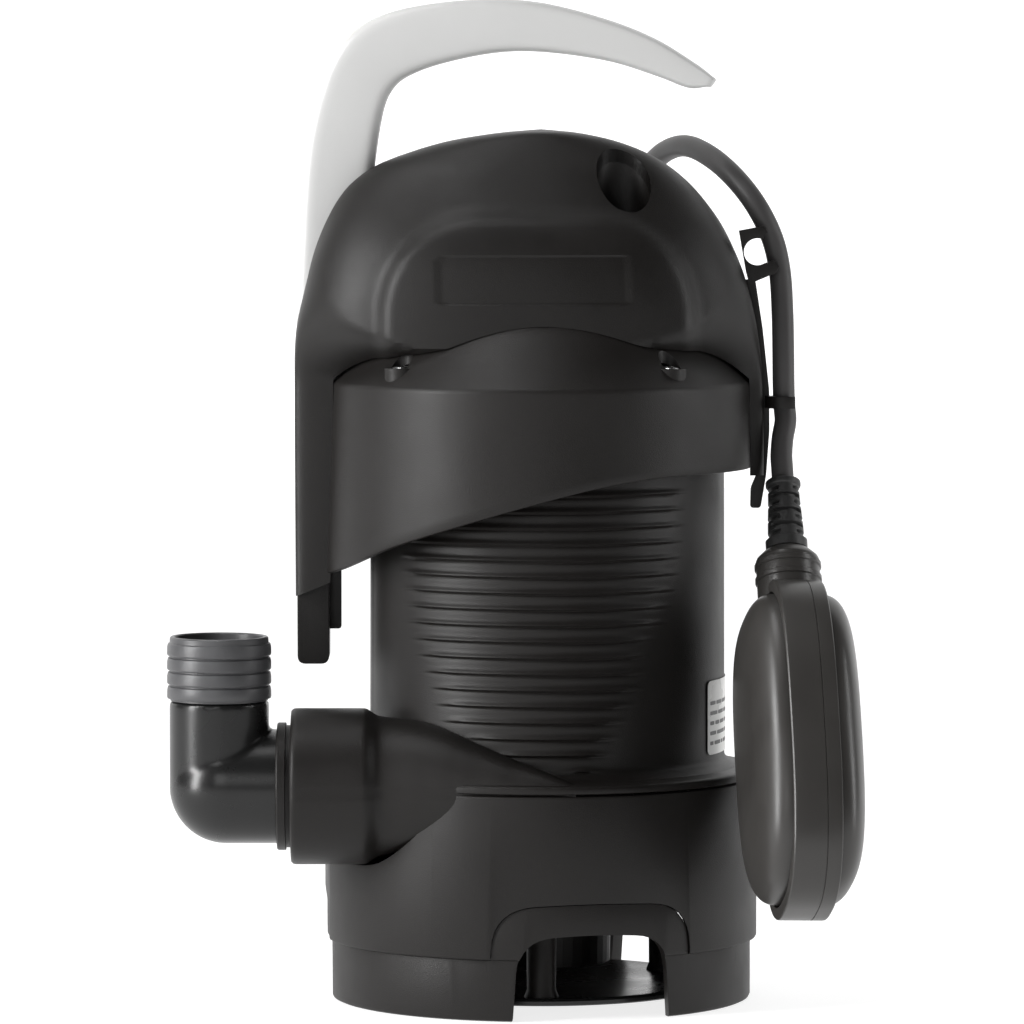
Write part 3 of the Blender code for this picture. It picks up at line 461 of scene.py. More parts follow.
# ---------------------------------------------------------------- motor housing
RIB_PITCH, RIB_LOW, RIB_COUNT = 6.22, 94.9, 18
RIB_STEPS = (-2.0, -1.45, -1.05, -0.65, -0.35, 0, 0.4, 0.9, 1.5, 2.2, 3.1)  # rings round each rib
RIB_SECTOR = 80                # degrees either side of the front
RIB_REACH = (                  # height, left end and right end of the ribs in front
    (94.9, 5.5, 24.5), (101, -18.5, 25.7), (107, -27, 28), (113.6, -36.4, 31.4), (126, -41, 37.5),
    (151, -52, 47), (173, -53.6, 52.7), (201, -55, 56.5))


def rib_height(angle, z):
    """Raised height of the ribs, in millimetres, at an angle from the front."""
    number = min(max(round((z - RIB_LOW) / RIB_PITCH), 0), RIB_COUNT - 1)
    centre = RIB_LOW + number * RIB_PITCH
    heights = [row[0] for row in RIB_REACH]
    ends = [float(np.interp(centre, heights, [row[k] for row in RIB_REACH])) for k in (1, 2)]
    left, right = [math.degrees(math.asin((x - MOTOR_X) / MOTOR_R)) for x in ends]
    taper = step_up(min(angle - left, right - angle), -2.5, 11)
    above = z - centre
    lip = math.exp(-(above / (1.15 if above > 0 else 0.42)) ** 2)
    groove = 0.42 * math.exp(-((above + 1.05) / 0.45) ** 2)
    return taper * (1.05 * lip - groove)


def motor_tube():
    low, high = FLANGE_TOP + 1.0, MOTOR_TOP
    heights = [low + 0.5 * k for k in range(5)]
    for number in range(RIB_COUNT):
        heights += [RIB_LOW + number * RIB_PITCH + step for step in RIB_STEPS]
    heights = sorted(z for z in heights if z >= low) + [212, 220, high]
    front = [-RIB_SECTOR + 0.9 * k for k in range(int(2 * RIB_SECTOR / 0.9) + 1)]
    back = [RIB_SECTOR + 2.5 * k for k in range(1, 40)]
    angles = [-180 + 2.5 * k for k in range(40)] + front + back
    verts = []
    for z in heights:
        flare = 6.5 * (1 - step_up(z, low - 1, low + 5.5)) ** 2
        lean = 0.35 * (MOTOR_TOP - z) / (MOTOR_TOP - low)
        for angle in angles:
            radius = MOTOR_R + lean + flare
            if abs(angle) < RIB_SECTOR and flare < 1.5:
                radius += rib_height(angle, z) - 0.2
            a = math.radians(angle)
            verts.append((MOTOR_X + radius * math.sin(a), -radius * math.cos(a), z))
    faces = grid_faces(len(heights), len(angles), wrap=True)
    inner = len(verts)
    for z in (high, low):
        for angle in angles:
            a = math.radians(angle)
            verts.append((MOTOR_X + MOTOR_BORE * math.sin(a), -MOTOR_BORE * math.cos(a), z))
    count = len(angles)
    top = (len(heights) - 1) * count
    for k in range(count):
        j = (k + 1) % count
        faces.append((top + k, top + j, inner + j, inner + k))
        faces.append((inner + k, inner + j, inner + count + j, inner + count + k))
        faces.append((inner + count + k, inner + count + j, j, k))
    housing = build("motor_housing_visual", verts, faces, BLACK, 50)

    flange = turned("housing_flange", [
        (67, FLANGE_TOP + 2.6), (MOTOR_R + 3.5, FLANGE_TOP + 2.4), (MOTOR_R + 6.6, FLANGE_TOP + 1.3),
        (CASING_R - 3.2, FLANGE_TOP + 0.5), (CASING_R - 1.0, FLANGE_TOP + 0.2),
        (CASING_R - 0.25, FLANGE_TOP - 0.4), (CASING_R, FLANGE_TOP - 1.2),
        (CASING_R - 0.1, CASING_TOP + 0.9), (CASING_R - 0.7, CASING_TOP + 0.5),
        (67, CASING_TOP + 0.5)], BLACK, 192)
    bulkhead = turned("housing_bulkhead", [
        (66.9, 104), (66.9, 98), (9.5, 98), (9.5, 99.5), (15, 99.5), (15, 104)], BLACK, 96,
        centre=(MOTOR_X, 0, 0))


def outlet_boss():
    """The outlet's boss and the spiral behind it, as round sections along X with a mould seam."""
    stations = (               # X, Y and Z of the middle, radius
        (BOSS_END, -46, 87, 29.2), (BOSS_END + 0.5, -46, 87, 29.8), (BOSS_END + 1.6, -46, 87, 30.1),
        (-85, -46, 87, 30.1), (-70.5, -46, 87, 30.1), (-68.2, -46, 87, 29.8), (-66.6, -46.1, 87, 28.6),
        (-64.8, -46.2, 87, 27.3), (-60, -46.6, 87, 26.6), (-50, -49, 87, 25.8), (-42, -51.6, 87, 24.4),
        (-34, -55.5, 87, 21.8), (-26, -60, 87, 18.6), (-18, -64.6, 87, 15.4), (-10, -68.8, 87, 12.2),
        (-2, -72.5, 87, 9.6), (6, -76, 86.8, 6.8), (13, -78.5, 86.4, 4.4))
    fine = spline([(x, y, z) for x, y, z, _ in stations], 120)
    sizes = spline([(x, radius, 0) for x, y, z, radius in stations], 120)
    verts, sides = [], 96
    for point, size in zip(fine, sizes):
        for i in range(sides):
            a = 2 * math.pi * i / sides
            reach = size.y - SEAM_DEPTH * math.exp(-((a - math.pi) / SEAM_WIDTH) ** 2)
            verts.append((point.x, point.y + reach * math.cos(a), point.z + reach * math.sin(a)))
    faces = grid_faces(len(fine), sides, wrap=True)
    faces += end_faces(len(verts), sides)
    boss = build("outlet_boss", verts, faces, BLACK, 50)
    bore = tube("boss_bore", [(BOSS_END - 5, -46, 87), (-60, -46, 87)], 24.6, BLACK, 64, body=None)
    combine(boss, bore, angle=50)
    inside = turned("casing_inside", [(0, 86.9), (CASING_R - 3.8, 86.9), (CASING_R - 3.8, 40), (0, 40)],
                    BLACK, 96, body=None)
    combine(boss, inside, angle=50)
    stand_for("motor_housing")


foot()
casing()
motor_tube()
outlet_boss()


# ---------------------------------------------------------------- cover over the motor head
HOOD_LEVELS = (                # height, left edge, right edge, depth at the middle
    (150, 95.6, 86.0, 51.0), (236, 95.9, 86.6, 51.0), (261, 95.3, 84.2, 50.8), (281, 91.0, 79.6, 49.5),
    (292.5, 88.0, 75.2, 47.0), (303, 83.9, 69.9, 42.0), (312, 79.0, 63.5, 34.5),
    (319, 73.2, 57.2, 28.0), (325.7, 63.6, 49.0, 22.0), (331, 49.8, 39.6, 17.0),
    (335, 35.4, 28.6, 13.5), (337.6, 19.5, 17.0, 10.5), (338.6, 9.5, 9.0, 7.5),
    (339.0, 1.0, 1.0, 2.0))
PANEL = (-61, 58, 200, 306.5)  # the raised panel's left, right, lower and upper edges
RECESS = (-39.4, 33.5, 273.2, 291.6)
BAND_R, BAND_RIM_Z = 81.7, 242.5
RIM_R = 3.3                    # the rounding of the band's rim
BAND_LEDGE = (59.0, 264.3)
BAND_SCREWS = ((-53.8, -49.0), (49.1, -53.0))
APRON_EDGE = ((-110, 155), (-85, 165), (-76, 169.6), (-55, 180.6), (-24, 191.5), (7, 200.5),
              (30, 205.5), (50, 207.6), (72, 207.9), (110, 207.9))
HOOD_WALL = 2.8
HOOD_LOW, HOOD_HIGH = 155, 339.0
HOOD_POWER = 0.43              # how round the plan is; smaller is flatter in front
FLANK_STEPS = 26
EAR_DEPTH, EAR_POWER = 6.5, 0.24        # the thin flanks beside the band
PANEL_RISE = 3.2
REAR_STEP, REAR_PANEL = 33, (-50, 46, 215, 306)
GLAND_X, GLAND_Z = 22, 285     # the two leads' entries, either side of the middle
HANDLE_Y = (-7.2, 14.4)
ACCESS, ACCESS_R = (31.8, -29.2, 0), 10.5       # the deep round hole over the cover's screw


def levels(height):
    """The hood's left edge, right edge and depth at a height, smoothly between its levels."""
    heights = [level[0] for level in HOOD_LEVELS]
    height = min(max(height, heights[0]), heights[-1])
    k = max(i for i in range(len(heights) - 1) if heights[i] <= height)
    t = (height - heights[k]) / (heights[k + 1] - heights[k])
    rows = [HOOD_LEVELS[max(0, k - 1)], HOOD_LEVELS[k], HOOD_LEVELS[k + 1],
            HOOD_LEVELS[min(len(heights) - 1, k + 2)]]
    made = []
    for part in (1, 2, 3):
        before, start, end, after = [row[part] for row in rows]
        span = heights[k + 1] - heights[k]
        slope_in = (end - before) / (rows[2][0] - rows[0][0]) * span
        slope_out = (after - start) / (rows[3][0] - rows[1][0]) * span
        made.append(start * (2 * t ** 3 - 3 * t * t + 1) + slope_in * (t ** 3 - 2 * t * t + t)
                    + end * (3 * t * t - 2 * t ** 3) + slope_out * (t ** 3 - t * t))
    return made


def inside_block(x, z, block, radius):
    """Distance inside a rounded rectangle (negative outside)."""
    left, right, low, high = block
    across = abs(x - (left + right) / 2) - (right - left) / 2 + radius
    up = abs(z - (low + high) / 2) - (high - low) / 2 + radius
    outside = math.hypot(max(across, 0), max(up, 0))
    return radius - outside - min(max(across, up), 0)


def ladder(low, high, step, edges, fine, reach):
    """Steps from low to high, closer together near the given edges."""
    stops = {low, high}
    value = low
    while value < high:
        if min(abs(value - edge) for edge in edges) > reach:
            stops.add(round(value, 3))
        value += step
    for edge in edges:
        for k in range(-round(reach / fine), round(reach / fine) + 1):
            if low < edge + k * fine < high:
                stops.add(round(edge + k * fine, 3))
    return sorted(stops)


def hood(name, side, rows, columns, wall=HOOD_WALL, body="root"):
    """One half of the hood as a shell (or filled, with no wall): side -1 is the front."""
    def section(height, u, shrink):
        """How far the skin stands out, at a share u of the half width from the middle."""
        depth, power = levels(height)[2], HOOD_POWER
        if side > 0:
            depth += REAR_STEP
        else:
            near = step_up(height, 240, 256 + 34 * u ** 4)
            depth -= PANEL_RISE * (1 - step_up(height, 300, 328))
            depth = depth * near + EAR_DEPTH * (1 - near)
            power = HOOD_POWER * near + EAR_POWER * (1 - near)
        return max(depth - shrink, 0.4) * max(0.0, 1 - u ** (1 / power)) ** power

    def skin(shrink):
        verts = []
        for height in rows:
            left, right, _ = levels(height)
            middle, half = (right - left) / 2, max((right + left) / 2 - shrink, 0.4)
            squeeze = min(1.0, (half - 0.2) / 68)
            reach = 62 * squeeze / half
            turn = math.acos(min(1, reach ** (1 / (2 * HOOD_POWER))))
            flank = [1 - math.cos(turn * k / FLANK_STEPS) ** (2 * HOOD_POWER)
                     for k in range(FLANK_STEPS)]
            xs = [middle - half * (1 - part) for part in flank]
            xs += [middle + x * squeeze for x in columns]
            xs += [middle + half * (1 - part) for part in reversed(flank)]
            for number, x in enumerate(xs):
                y = section(height, min(1, abs(x - middle) / half), shrink)
                z = height - shrink * step_up(height, 264, 290)
                if shrink == 0 and side < 0:
                    y += PANEL_RISE * step_up(inside_block(x, height, PANEL, 38), -4.0, 3.0)
                    y -= 0.55 * step_up(inside_block(x, height, RECESS, 2.2), -0.5, 0.4)
                if shrink == 0 and side > 0:
                    y += 1.6 * step_up(inside_block(x, height, REAR_PANEL, 16), -3, 3) - 1.6
                edge = 0.35 if shrink == 0 and number in (0, len(xs) - 1) else 0
                verts.append((x + (edge if x < middle else -edge), SPLIT_Y + side * (0.15 + y), z))
        return verts

    outer = skin(0)
    width = len(outer) // len(rows)
    faces = grid_faces(len(rows), width)
    faces.append(tuple(range(len(outer) - width, len(outer))))
    if not wall:
        faces.append(tuple(range(width)))
        faces += [(row * width, (row + 1) * width, (row + 2) * width - 1, (row + 1) * width - 1)
                  for row in range(len(rows) - 1)]
        return build(name, outer, faces, COWL, 38, body)
    inner = skin(wall)
    count = len(outer)
    faces += [tuple(count + i for i in reversed(face)) for face in faces]
    for row in range(len(rows) - 1):
        for column in (0, width - 1):
            a = row * width + column
            faces.append((a, a + width, count + a + width, count + a))
    faces += [(i, i + 1, count + i + 1, count + i) for i in range(width - 1)]
    faces += [(count - width, count - 1, 2 * count - 1, 2 * count - width)]
    return build(name, outer + inner, faces, COWL, 38, body)


def under_apron(name, drop=0.0):
    """Everything under the sloping lower edge of the skirts."""
    edge = spline([(x, z - drop, 0) for x, z in APRON_EDGE], 60)
    outline = [(-110, 60), (110, 60)] + [(point.x, point.y) for point in reversed(edge)]
    return prism(name, outline, -120, 120, COWL, upright=True, body=None)


def front_cowl():
    rows = ladder(HOOD_LOW, HOOD_HIGH, 2.2, (RECESS[2], RECESS[3], 337.4), 0.4, 2.0)
    columns = ladder(-62, 62, 1.7, (RECESS[0], RECESS[1]), 0.4, 2.0)
    cowl = hood("front_cowl_visual", -1, rows, columns)
    band_space = turned("band_space", [
        (0, BAND_LEDGE[1] + 0.6), (BAND_LEDGE[0] - 0.2, BAND_LEDGE[1] + 0.35),
        (BAND_R + 0.25, BAND_RIM_Z + 0.2), (BAND_R + 0.6, 200), (BAND_R + 3, 100), (0, 100)],
        COWL, 160, body=None)
    combine(cowl, band_space)
    combine(cowl, under_apron("cowl_skirt", 3.0))
    bore = turned("screw_access", [
        (0, 345), (ACCESS_R, 345), (ACCESS_R, 291.2), (0, 291.2)], COWL, 64, body=None, centre=ACCESS)
    well = turned("screw_well", [
        (ACCESS_R + 1.7, 345), (ACCESS_R + 1.7, 288.5), (4.0, 288.5), (4.0, 291.4),
        (ACCESS_R, 291.4), (ACCESS_R, 345)], COWL, 64, centre=ACCESS)
    rows = ladder(250, HOOD_HIGH, 2.2, (337.4,), 0.4, 2.0)
    filled = hood("hood_filled", -1, rows, columns, wall=0, body=None)
    combine(well, filled, "INTERSECT")
    combine(cowl, bore)
    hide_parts("front_cowl")
    for made in (cowl, well):
        smooth(made, 32)


def front_band():
    """The band with its sloping apron: one closed profile swept round the front."""
    spread = math.degrees(math.acos((-SPLIT_Y + 0.3) / BAND_R))
    edge = spline([(x, z, 0) for x, z in APRON_EDGE], 200)

    def wall(z):
        return BAND_R + 0.035 * (240 - z)

    verts, steps = [], 190
    for step in range(steps + 1):
        angle = math.radians(-spread + 2 * spread * step / steps)
        x = BAND_R * math.sin(angle)
        low = next(a.y + (b.y - a.y) * (x - a.x) / (b.x - a.x)
                   for a, b in zip(edge, edge[1:]) if a.x <= x <= b.x)
        profile = [(57.0, BAND_LEDGE[1] + 0.9), (BAND_LEDGE[0], BAND_LEDGE[1])]
        rim = (BAND_R - 2.6, BAND_RIM_Z + 0.15)
        profile += [(BAND_LEDGE[0] + (rim[0] - BAND_LEDGE[0]) * t, BAND_LEDGE[1]
                     + (rim[1] + 0.75 - BAND_LEDGE[1]) * t) for t in (0.2, 0.4, 0.6, 0.8, 0.93)]
        profile += arc((BAND_R - RIM_R, BAND_RIM_Z + 0.35 - RIM_R), RIM_R, 50, 0, 7)
        top, bottom = BAND_RIM_Z - 4, low + 0.7
        profile += [(wall(z), z) for z in [top + (bottom - top) * k / 12 for k in range(13)]]
        profile += [(wall(low) - 0.25, low + 0.2), (wall(low) - 0.7, low)]
        profile += [(wall(low) - 2.1, low), (wall(low) - 2.6, low + 0.5)]
        profile += [(BAND_R - 2.6, BAND_RIM_Z - 3), (57.0, BAND_LEDGE[1] - 3.2)]
        verts += [(radius * math.sin(angle), -radius * math.cos(angle), z) for radius, z in profile]
    rows = len(profile)
    faces = grid_faces(steps + 1, rows, wrap=True)
    faces += end_faces(len(verts), rows)
    band = build("front_band_visual", verts, faces, BLACK, 38)
    for number, (x, y) in enumerate(BAND_SCREWS):
        seat = turned(f"screw_seat_{number}", [(0, 248.5), (6.4, 248.5), (6.4, 239), (0, 239)],
                      BLACK, 40, body=None, centre=(x, y, 0))
        combine(band, seat, "UNION", 38)
        pocket = turned(f"pocket_{number}", [
            (0, 262), (4.5, 262), (4.35, 246.6), (2.1, 246.6), (2.1, 236), (0, 236)], BLACK, 40,
            body=None, centre=(x, y, 0))
        combine(band, pocket, angle=38)
    stand_for("front_band")


front_cowl()
front_band()


def rear_cowl():
    rows = ladder(HOOD_LOW, HOOD_HIGH, 3.0, (REAR_PANEL[3], 337), 0.6, 3.0)
    columns = ladder(-62, 62, 2.6, REAR_PANEL[:2], 0.8, 3.2)
    cowl = hood("rear_cowl_visual", 1, rows, columns)
    combine(cowl, under_apron("rear_skirt", -0.5))
    slot = prism("handle_slot", [(-130, 232), (-58, 232), (-58, 345), (-130, 345)],
                 SPLIT_Y - 3, HANDLE_Y[1] + 0.3, COWL, upright=True, body=None)
    combine(cowl, slot)
    for side in (-1, 1):
        x = side * GLAND_X
        combine(cowl, tube(f"gland_hole_{side}", [(x, 50, GLAND_Z), (x, 100, GLAND_Z)], 9.7,
                           COWL, 48, body=None))
    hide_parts("rear_cowl")

    leg_outline = rounded([
        (-95.3, 231.7, 0.5), (-82.5, 231.7, 0.5), (-82.7, 131, 3.2), (-95.0, 131, 3.2)], 3, 6)
    leg = prism("cowl_leg", leg_outline, SPLIT_Y + 0.3, 13, COWL, upright=True)
    bevelled(leg, 0.9, 3, 40)
    rib_outline = rounded([(-83.5, 200), (-78.1, 200), (-78.1, 144, 1.2), (-83.5, 144)], 0.6, 4)
    rib = prism("cowl_rib", rib_outline, 2, 8, COWL, upright=True)
    bevelled(rib, 0.5, 2, 40)
    for made in (cowl, leg, rib):
        smooth(made, 34)


# ---------------------------------------------------------------- handle
HANDLE_OUTER = ((-93.6, 234), (-95.2, 261), (-94.4, 292), (-92.8, 321), (-90.6, 338), (-87, 352.6),
                (-82.3, 365), (-74.2, 376.5), (-61.2, 384), (-42.5, 388.2), (-19.9, 389.9),
                (1.2, 388.4), (26, 382), (44.9, 374.4), (60.5, 364.8), (67.2, 359.6))
HANDLE_INNER = ((-79.0, 234), (-71, 262), (-67, 300), (-64.7, 325.7), (-61.4, 346), (-57.5, 355),
                (-51, 360.2), (-37.8, 365), (-17.6, 369), (1.2, 369.3), (26, 365.8), (44.9, 360),
                (57.3, 355.4), (64.6, 355.8))


def handle():
    """The grip lofted between its outer and inner outlines, with flat sides and soft edges."""
    count = 150
    outer = spline([(x, 0, z) for x, z in HANDLE_OUTER], count)
    inner = spline([(x, 0, z) for x, z in HANDLE_INNER], count)
    middle, half = sum(HANDLE_Y) / 2, (HANDLE_Y[1] - HANDLE_Y[0]) / 2
    sides, verts = 48, []
    for k, (a, b) in enumerate(zip(outer, inner)):
        centre, reach = (a + b) / 2, (a - b) / 2
        for i in range(sides):
            turn = 2 * math.pi * i / sides
            across = math.copysign(abs(math.cos(turn)) ** 0.30, math.cos(turn))
            over = math.copysign(abs(math.sin(turn)) ** 0.42, math.sin(turn))
            verts.append(centre + reach * across + Vector((0, middle + half * over, 0)))
    rings = len(outer)
    tip = (outer[-1] - outer[-2] + inner[-1] - inner[-2]).normalized()
    last = verts[-sides:]
    centre = (outer[-1] + inner[-1]) / 2 + Vector((0, middle, 0))
    for shift, scale in ((0.8, 0.93), (1.35, 0.78), (1.6, 0.5)):
        verts += [centre + (point - centre) * scale + tip * shift for point in last]
        rings += 1
    faces = grid_faces(rings, sides, wrap=True)
    faces += end_faces(len(verts), sides)
    grip = build("carry_handle_visual", verts, faces, SILVER, 50)
    stand_for("carry_handle")


# ---------------------------------------------------------------- outlet elbow and hose barb
ELBOW_X, HEEL_X = -124.1, -121.3
PIPE_R, RISER_R, RISER_WALL, BARB_R = 22.0, 19.15, 3.4, 20.1
BARB_Z = (120.4, 145.0)


def ball(name, radius, centre, around, rings):
    """A closed sphere, used only to shape the elbow."""
    half = [(radius * math.sin(math.pi * k / rings), radius * math.cos(math.pi * k / rings))
            for k in range(1, rings)]
    return turned(name, [(0, radius)] + half + [(0, -radius)], GLOSS, around, centre, body=None)


def elbow():
    """A level pipe and an upright one that meet in a full, round heel."""
    y, z = OUTLET
    heel_at = (HEEL_X, y, z)
    level = tube("outlet_elbow_visual", [(-80, y, z), heel_at], PIPE_R, GLOSS, 96)
    heel = ball("elbow_heel", PIPE_R, heel_at, 96, 48)
    riser = tube("elbow_riser", [(ELBOW_X, y, z - 3), (ELBOW_X, y, BARB_Z[0] - 0.3)], RISER_R,
                 GLOSS, 96, body=None)
    combine(level, heel, "UNION")
    combine(level, riser, "UNION")
    remesh = level.modifiers.new("even", "REMESH")
    remesh.mode = "VOXEL"
    remesh.voxel_size = 0.8 * MM
    apply(level, 60)
    relax = level.modifiers.new("relax", "SMOOTH")
    relax.factor = 0.5
    relax.iterations = 14
    apply(level, 60)
    bore = tube("level_bore", [(-70, y, z), heel_at], PIPE_R - 4, GLOSS, 64, body=None)
    combine(bore, ball("bore_heel", PIPE_R - 4, heel_at, 64, 32), "UNION")
    upright = tube("riser_bore", [(ELBOW_X, y, z - 3), (ELBOW_X, y, 130)], RISER_R - RISER_WALL,
                   GLOSS, 64, body=None)
    combine(bore, upright, "UNION")
    combine(level, bore, angle=40)
    stand_for("outlet_elbow")
    turn = Matrix.Translation((0, y, z)) @ Matrix.Rotation(math.radians(-90), 4, "Y")
    collar = turned("elbow_collar", [
        (22.2, 96.0), (23.6, 96.0), (23.6, 98.2), (24.6, 98.4), (24.6, 101.2), (24.2, 101.7),
        (22.5, 101.8), (22.0, 102.0), (21.6, 101.0), (21.6, 96.0)], BLACK, 96, where=turn)


def barb():
    low, high = BARB_Z
    outline = [(RISER_R - RISER_WALL, low), (BARB_R - 1.3, low), (BARB_R - 1.3, low + 0.7),
               (BARB_R - 0.2, low + 0.9)]
    for number in range(4):
        start = low + 0.9 + 5.5 * number
        outline += [(BARB_R, start + 0.5), (BARB_R - 0.05, start + 3.2), (BARB_R - 0.35, start + 4.5),
                    (BARB_R - 1.0, start + 4.9), (BARB_R - 1.05, start + 5.3),
                    (BARB_R - 0.3, start + 5.5)]
    outline = outline[:-1]
    outline += [(BARB_R - 1.1, high - 0.5), (BARB_R - 1.6, high), (BARB_R - 2.6, high),
                (BARB_R - 3.0, high - 0.5), (BARB_R - 3.4, high - 6)]
    made = turned("hose_barb_visual", outline, BARB, 128, centre=(ELBOW_X, OUTLET[0], 0))
    smooth(made, 30)
    stand_for("hose_barb")


rear_cowl()
handle()
elbow()
barb()


# ---------------------------------------------------------------- float, its boot and its lead
HANG_TILT = Euler([math.radians(a) for a in (-26, 1.4, 8)])
HANG = Matrix.Translation(PIVOT) @ HANG_TILT.to_matrix().to_4x4()   # down the float from its pivot
FLOAT_MIDDLE = -(FLOAT_TOP + FLOAT_LENGTH / 2)
FLOAT_SIDES, FLOAT_POWER = 160, 0.74


def float_outline(inset, shorten=0.0):
    """The float's outline across its width and down its length, moved inwards by inset."""
    half_width, half_length = FLOAT_WIDTH / 2 - inset, FLOAT_LENGTH / 2 - inset - shorten
    made = []
    for i in range(FLOAT_SIDES):
        a = 2 * math.pi * i / FLOAT_SIDES
        made.append((math.copysign(abs(math.cos(a)) ** FLOAT_POWER, math.cos(a)) * half_width,
                     math.copysign(abs(math.sin(a)) ** FLOAT_POWER, math.sin(a)) * half_length))
    return made


def float_shell(name, side):
    """One bulged half: its outline shrinks along a rounded section out to the flat side."""
    verts, steps = [], 26
    reach = FLOAT_THICK / 2 - RIM_HALF
    for step in range(steps + 1):
        a = math.pi / 2 * step / steps
        scale, rise = max(0.0, math.cos(a)) ** 0.72, math.sin(a) ** 0.72
        inset = 0.8 + (FLOAT_WIDTH / 2 - 1.6) * (1 - scale)
        out = side * (RIM_HALF - 1.5 + (reach + 1.5) * rise)
        verts += [(out, across, FLOAT_MIDDLE + along)
                  for across, along in float_outline(inset, 5.2)]
    faces = grid_faces(steps + 1, FLOAT_SIDES, wrap=True)
    faces += end_faces(len(verts), FLOAT_SIDES)
    shell = build(f"{name}_visual", verts, faces, FLOAT_SKIN, 50, "float", HANG)
    stand_for(name)


def float_body():
    float_shell("float_shell_inner", -1)
    float_shell("float_shell_outer", 1)
    # The proud rim band: a closed section swept round the outline, with a fine seam
    section = ((4.5, -9.5), (1.2, -9.5), (0.5, -9.35), (0.1, -8.9), (0, -8.2), (0, -4), (0, 2.9),
               (0, 3.2), (0.28, 3.35), (0.28, 3.5), (0, 3.65), (0, 4), (0, 8.2), (0.1, 8.9),
               (0.5, 9.35), (1.2, 9.5), (4.5, 9.5))
    verts = []
    for inset, out in section:
        verts += [(out, across, FLOAT_MIDDLE + along) for across, along in float_outline(inset)]
    faces = grid_faces(len(section), FLOAT_SIDES, wrap=True)
    last = len(verts) - FLOAT_SIDES
    for i in range(FLOAT_SIDES):
        j = (i + 1) % FLOAT_SIDES
        faces.append((i, j, last + j, last + i))
    rim = build("float_rim_band_visual", verts, faces, FLOAT_SKIN, 30, "float", HANG)
    stand_for("float_rim_band")

    ribs = []
    for drop in (46.8, 52.4):
        ribs += [(12.3, -drop + 1.2), (12.9, -drop + 0.8), (12.9, -drop - 0.8), (12.3, -drop - 1.2)]
    neck = turned("float_neck_visual", [
        (5, -40.3), (8.4, -40.3), (9.2, -40.9), (11.9, -43.6), (12.3, -44.6), *ribs,
        (12.3, -61), (5, -61)], FLOAT_SKIN, 72, body="float", where=HANG)
    stand_for("float_neck")


def float_boot():
    """The bend relief: a sleeve whose slots alternate between its faces and its sides."""
    top, end, around, pitch = 11.0, 39.8, 96, 3.1
    drops = [top + (end - top) * k / 96 for k in range(97)]
    verts = []
    for drop in drops:
        radius = 6.1 + 0.9 * step_up(drop, top + 3, end - 5)
        radius += 0.7 * (1 - step_up(drop, top + 2.2, top + 2.8))
        radius += 1.1 * step_up(drop, end - 4.4, end - 3.6)
        radius -= 0.5 * (1 - step_up(drop, top, top + 0.5))
        row = (drop - top - 4.4) / pitch
        in_rows = -0.5 < row < 6.4
        across = abs(row - round(row)) * pitch
        for i in range(around):
            angle = 360 * i / around
            depth = 0.0
            if in_rows:
                aim = 0 if round(row) % 2 else 90
                off = abs((angle - aim + 90) % 180 - 90)
                depth = 1.5 * (1 - step_up(across, 0.55, 0.85)) * (1 - step_up(off, 58, 63))
            a = math.radians(angle)
            verts.append(((radius - depth) * math.sin(a), -(radius - depth) * math.cos(a), -drop))
    faces = grid_faces(len(drops), around, wrap=True)
    faces += end_faces(len(verts), around)
    sleeve = build("float_boot_visual", verts, faces, BOOT, 32, "float", HANG)
    stand_for("float_boot")


CORD_ROUTE = (                 # from the gland behind the head, over the clips, to the pivot
    (GLAND_X, 84.5, GLAND_Z), (GLAND_X, 92, 285.5), (24, 101, 290), (29, 106, 299),
    (36, 103, 311), (43, 91, 322),
    (50, 72, 329.5), (58, 50, 332), (67, 28, 328), (76, 12, 320),
    (84, 3, 309.5), (90.2, 2.4, 297), (93.2, 1.8, 284), (94.2, -0.8, 268), (94.4, -4.8, 252),
    (94.5, -6.1, 240), (94.8, -6.3, 232), (95.2, -8.2, 226), (94.0, -11.0, 219.5))


def float_lead():
    """The lead in one piece: it follows the pump, and bends at the pivot to follow the float."""
    inside = [HANG @ Vector((0, 0, -drop)) for drop in (6, 14, 24, 36, 47.7)]
    path = spline([Vector(point) for point in CORD_ROUTE] + [PIVOT] + inside, 260)
    lead = tube("float_lead", path, CORD_R, RUBBER, 28, body=None)
    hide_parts("float_cable_fixed", "float_cable_swing")
    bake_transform(lead)


float_body()
float_boot()
float_lead()


# ---------------------------------------------------------------- clips, screws, glands and label
def clips():
    low, high = -7.3, -3.4
    strip = prism("cable_clip_visual", rounded((
        (78.2, 281), (83.4, 281), (86.3, 262), (88.9, 238), (89.0, 222), (87.8, 205), (85.6, 192),
        (81.6, 192), (81.8, 200), (84.6, 206.5), (84.2, 236), (82.0, 261.5), (79.4, 275)), 1.2, 4),
        low, high, BLACK, upright=True)
    hole = arc((84.2, 291.8), 5.3, 65, 300, 29)
    hook = [(77.0, 300), (86.5, 301.8), (88.2, 299.5), (86.6, 298)] + hole
    hook += [(90.8, 288.6), (92.6, 286.2), (91.4, 283.6), (83.5, 280.3), (81.0, 279.6), (79.8, 284)]
    combine(strip, prism("upper_clip", hook, low, high, BLACK, upright=True, body=None), "UNION")
    eye = arc((94.6, -6.2), 7.5, 305, 140, 31) + arc((94.6, -6.2), 5.3, 140, 305, 27)
    combine(strip, prism("lower_clip", eye, 231.0, 235.6, BLACK, body=None), "UNION")
    bevelled(strip, 0.45, 3, 50)
    stand_for("cable_clip_frame")


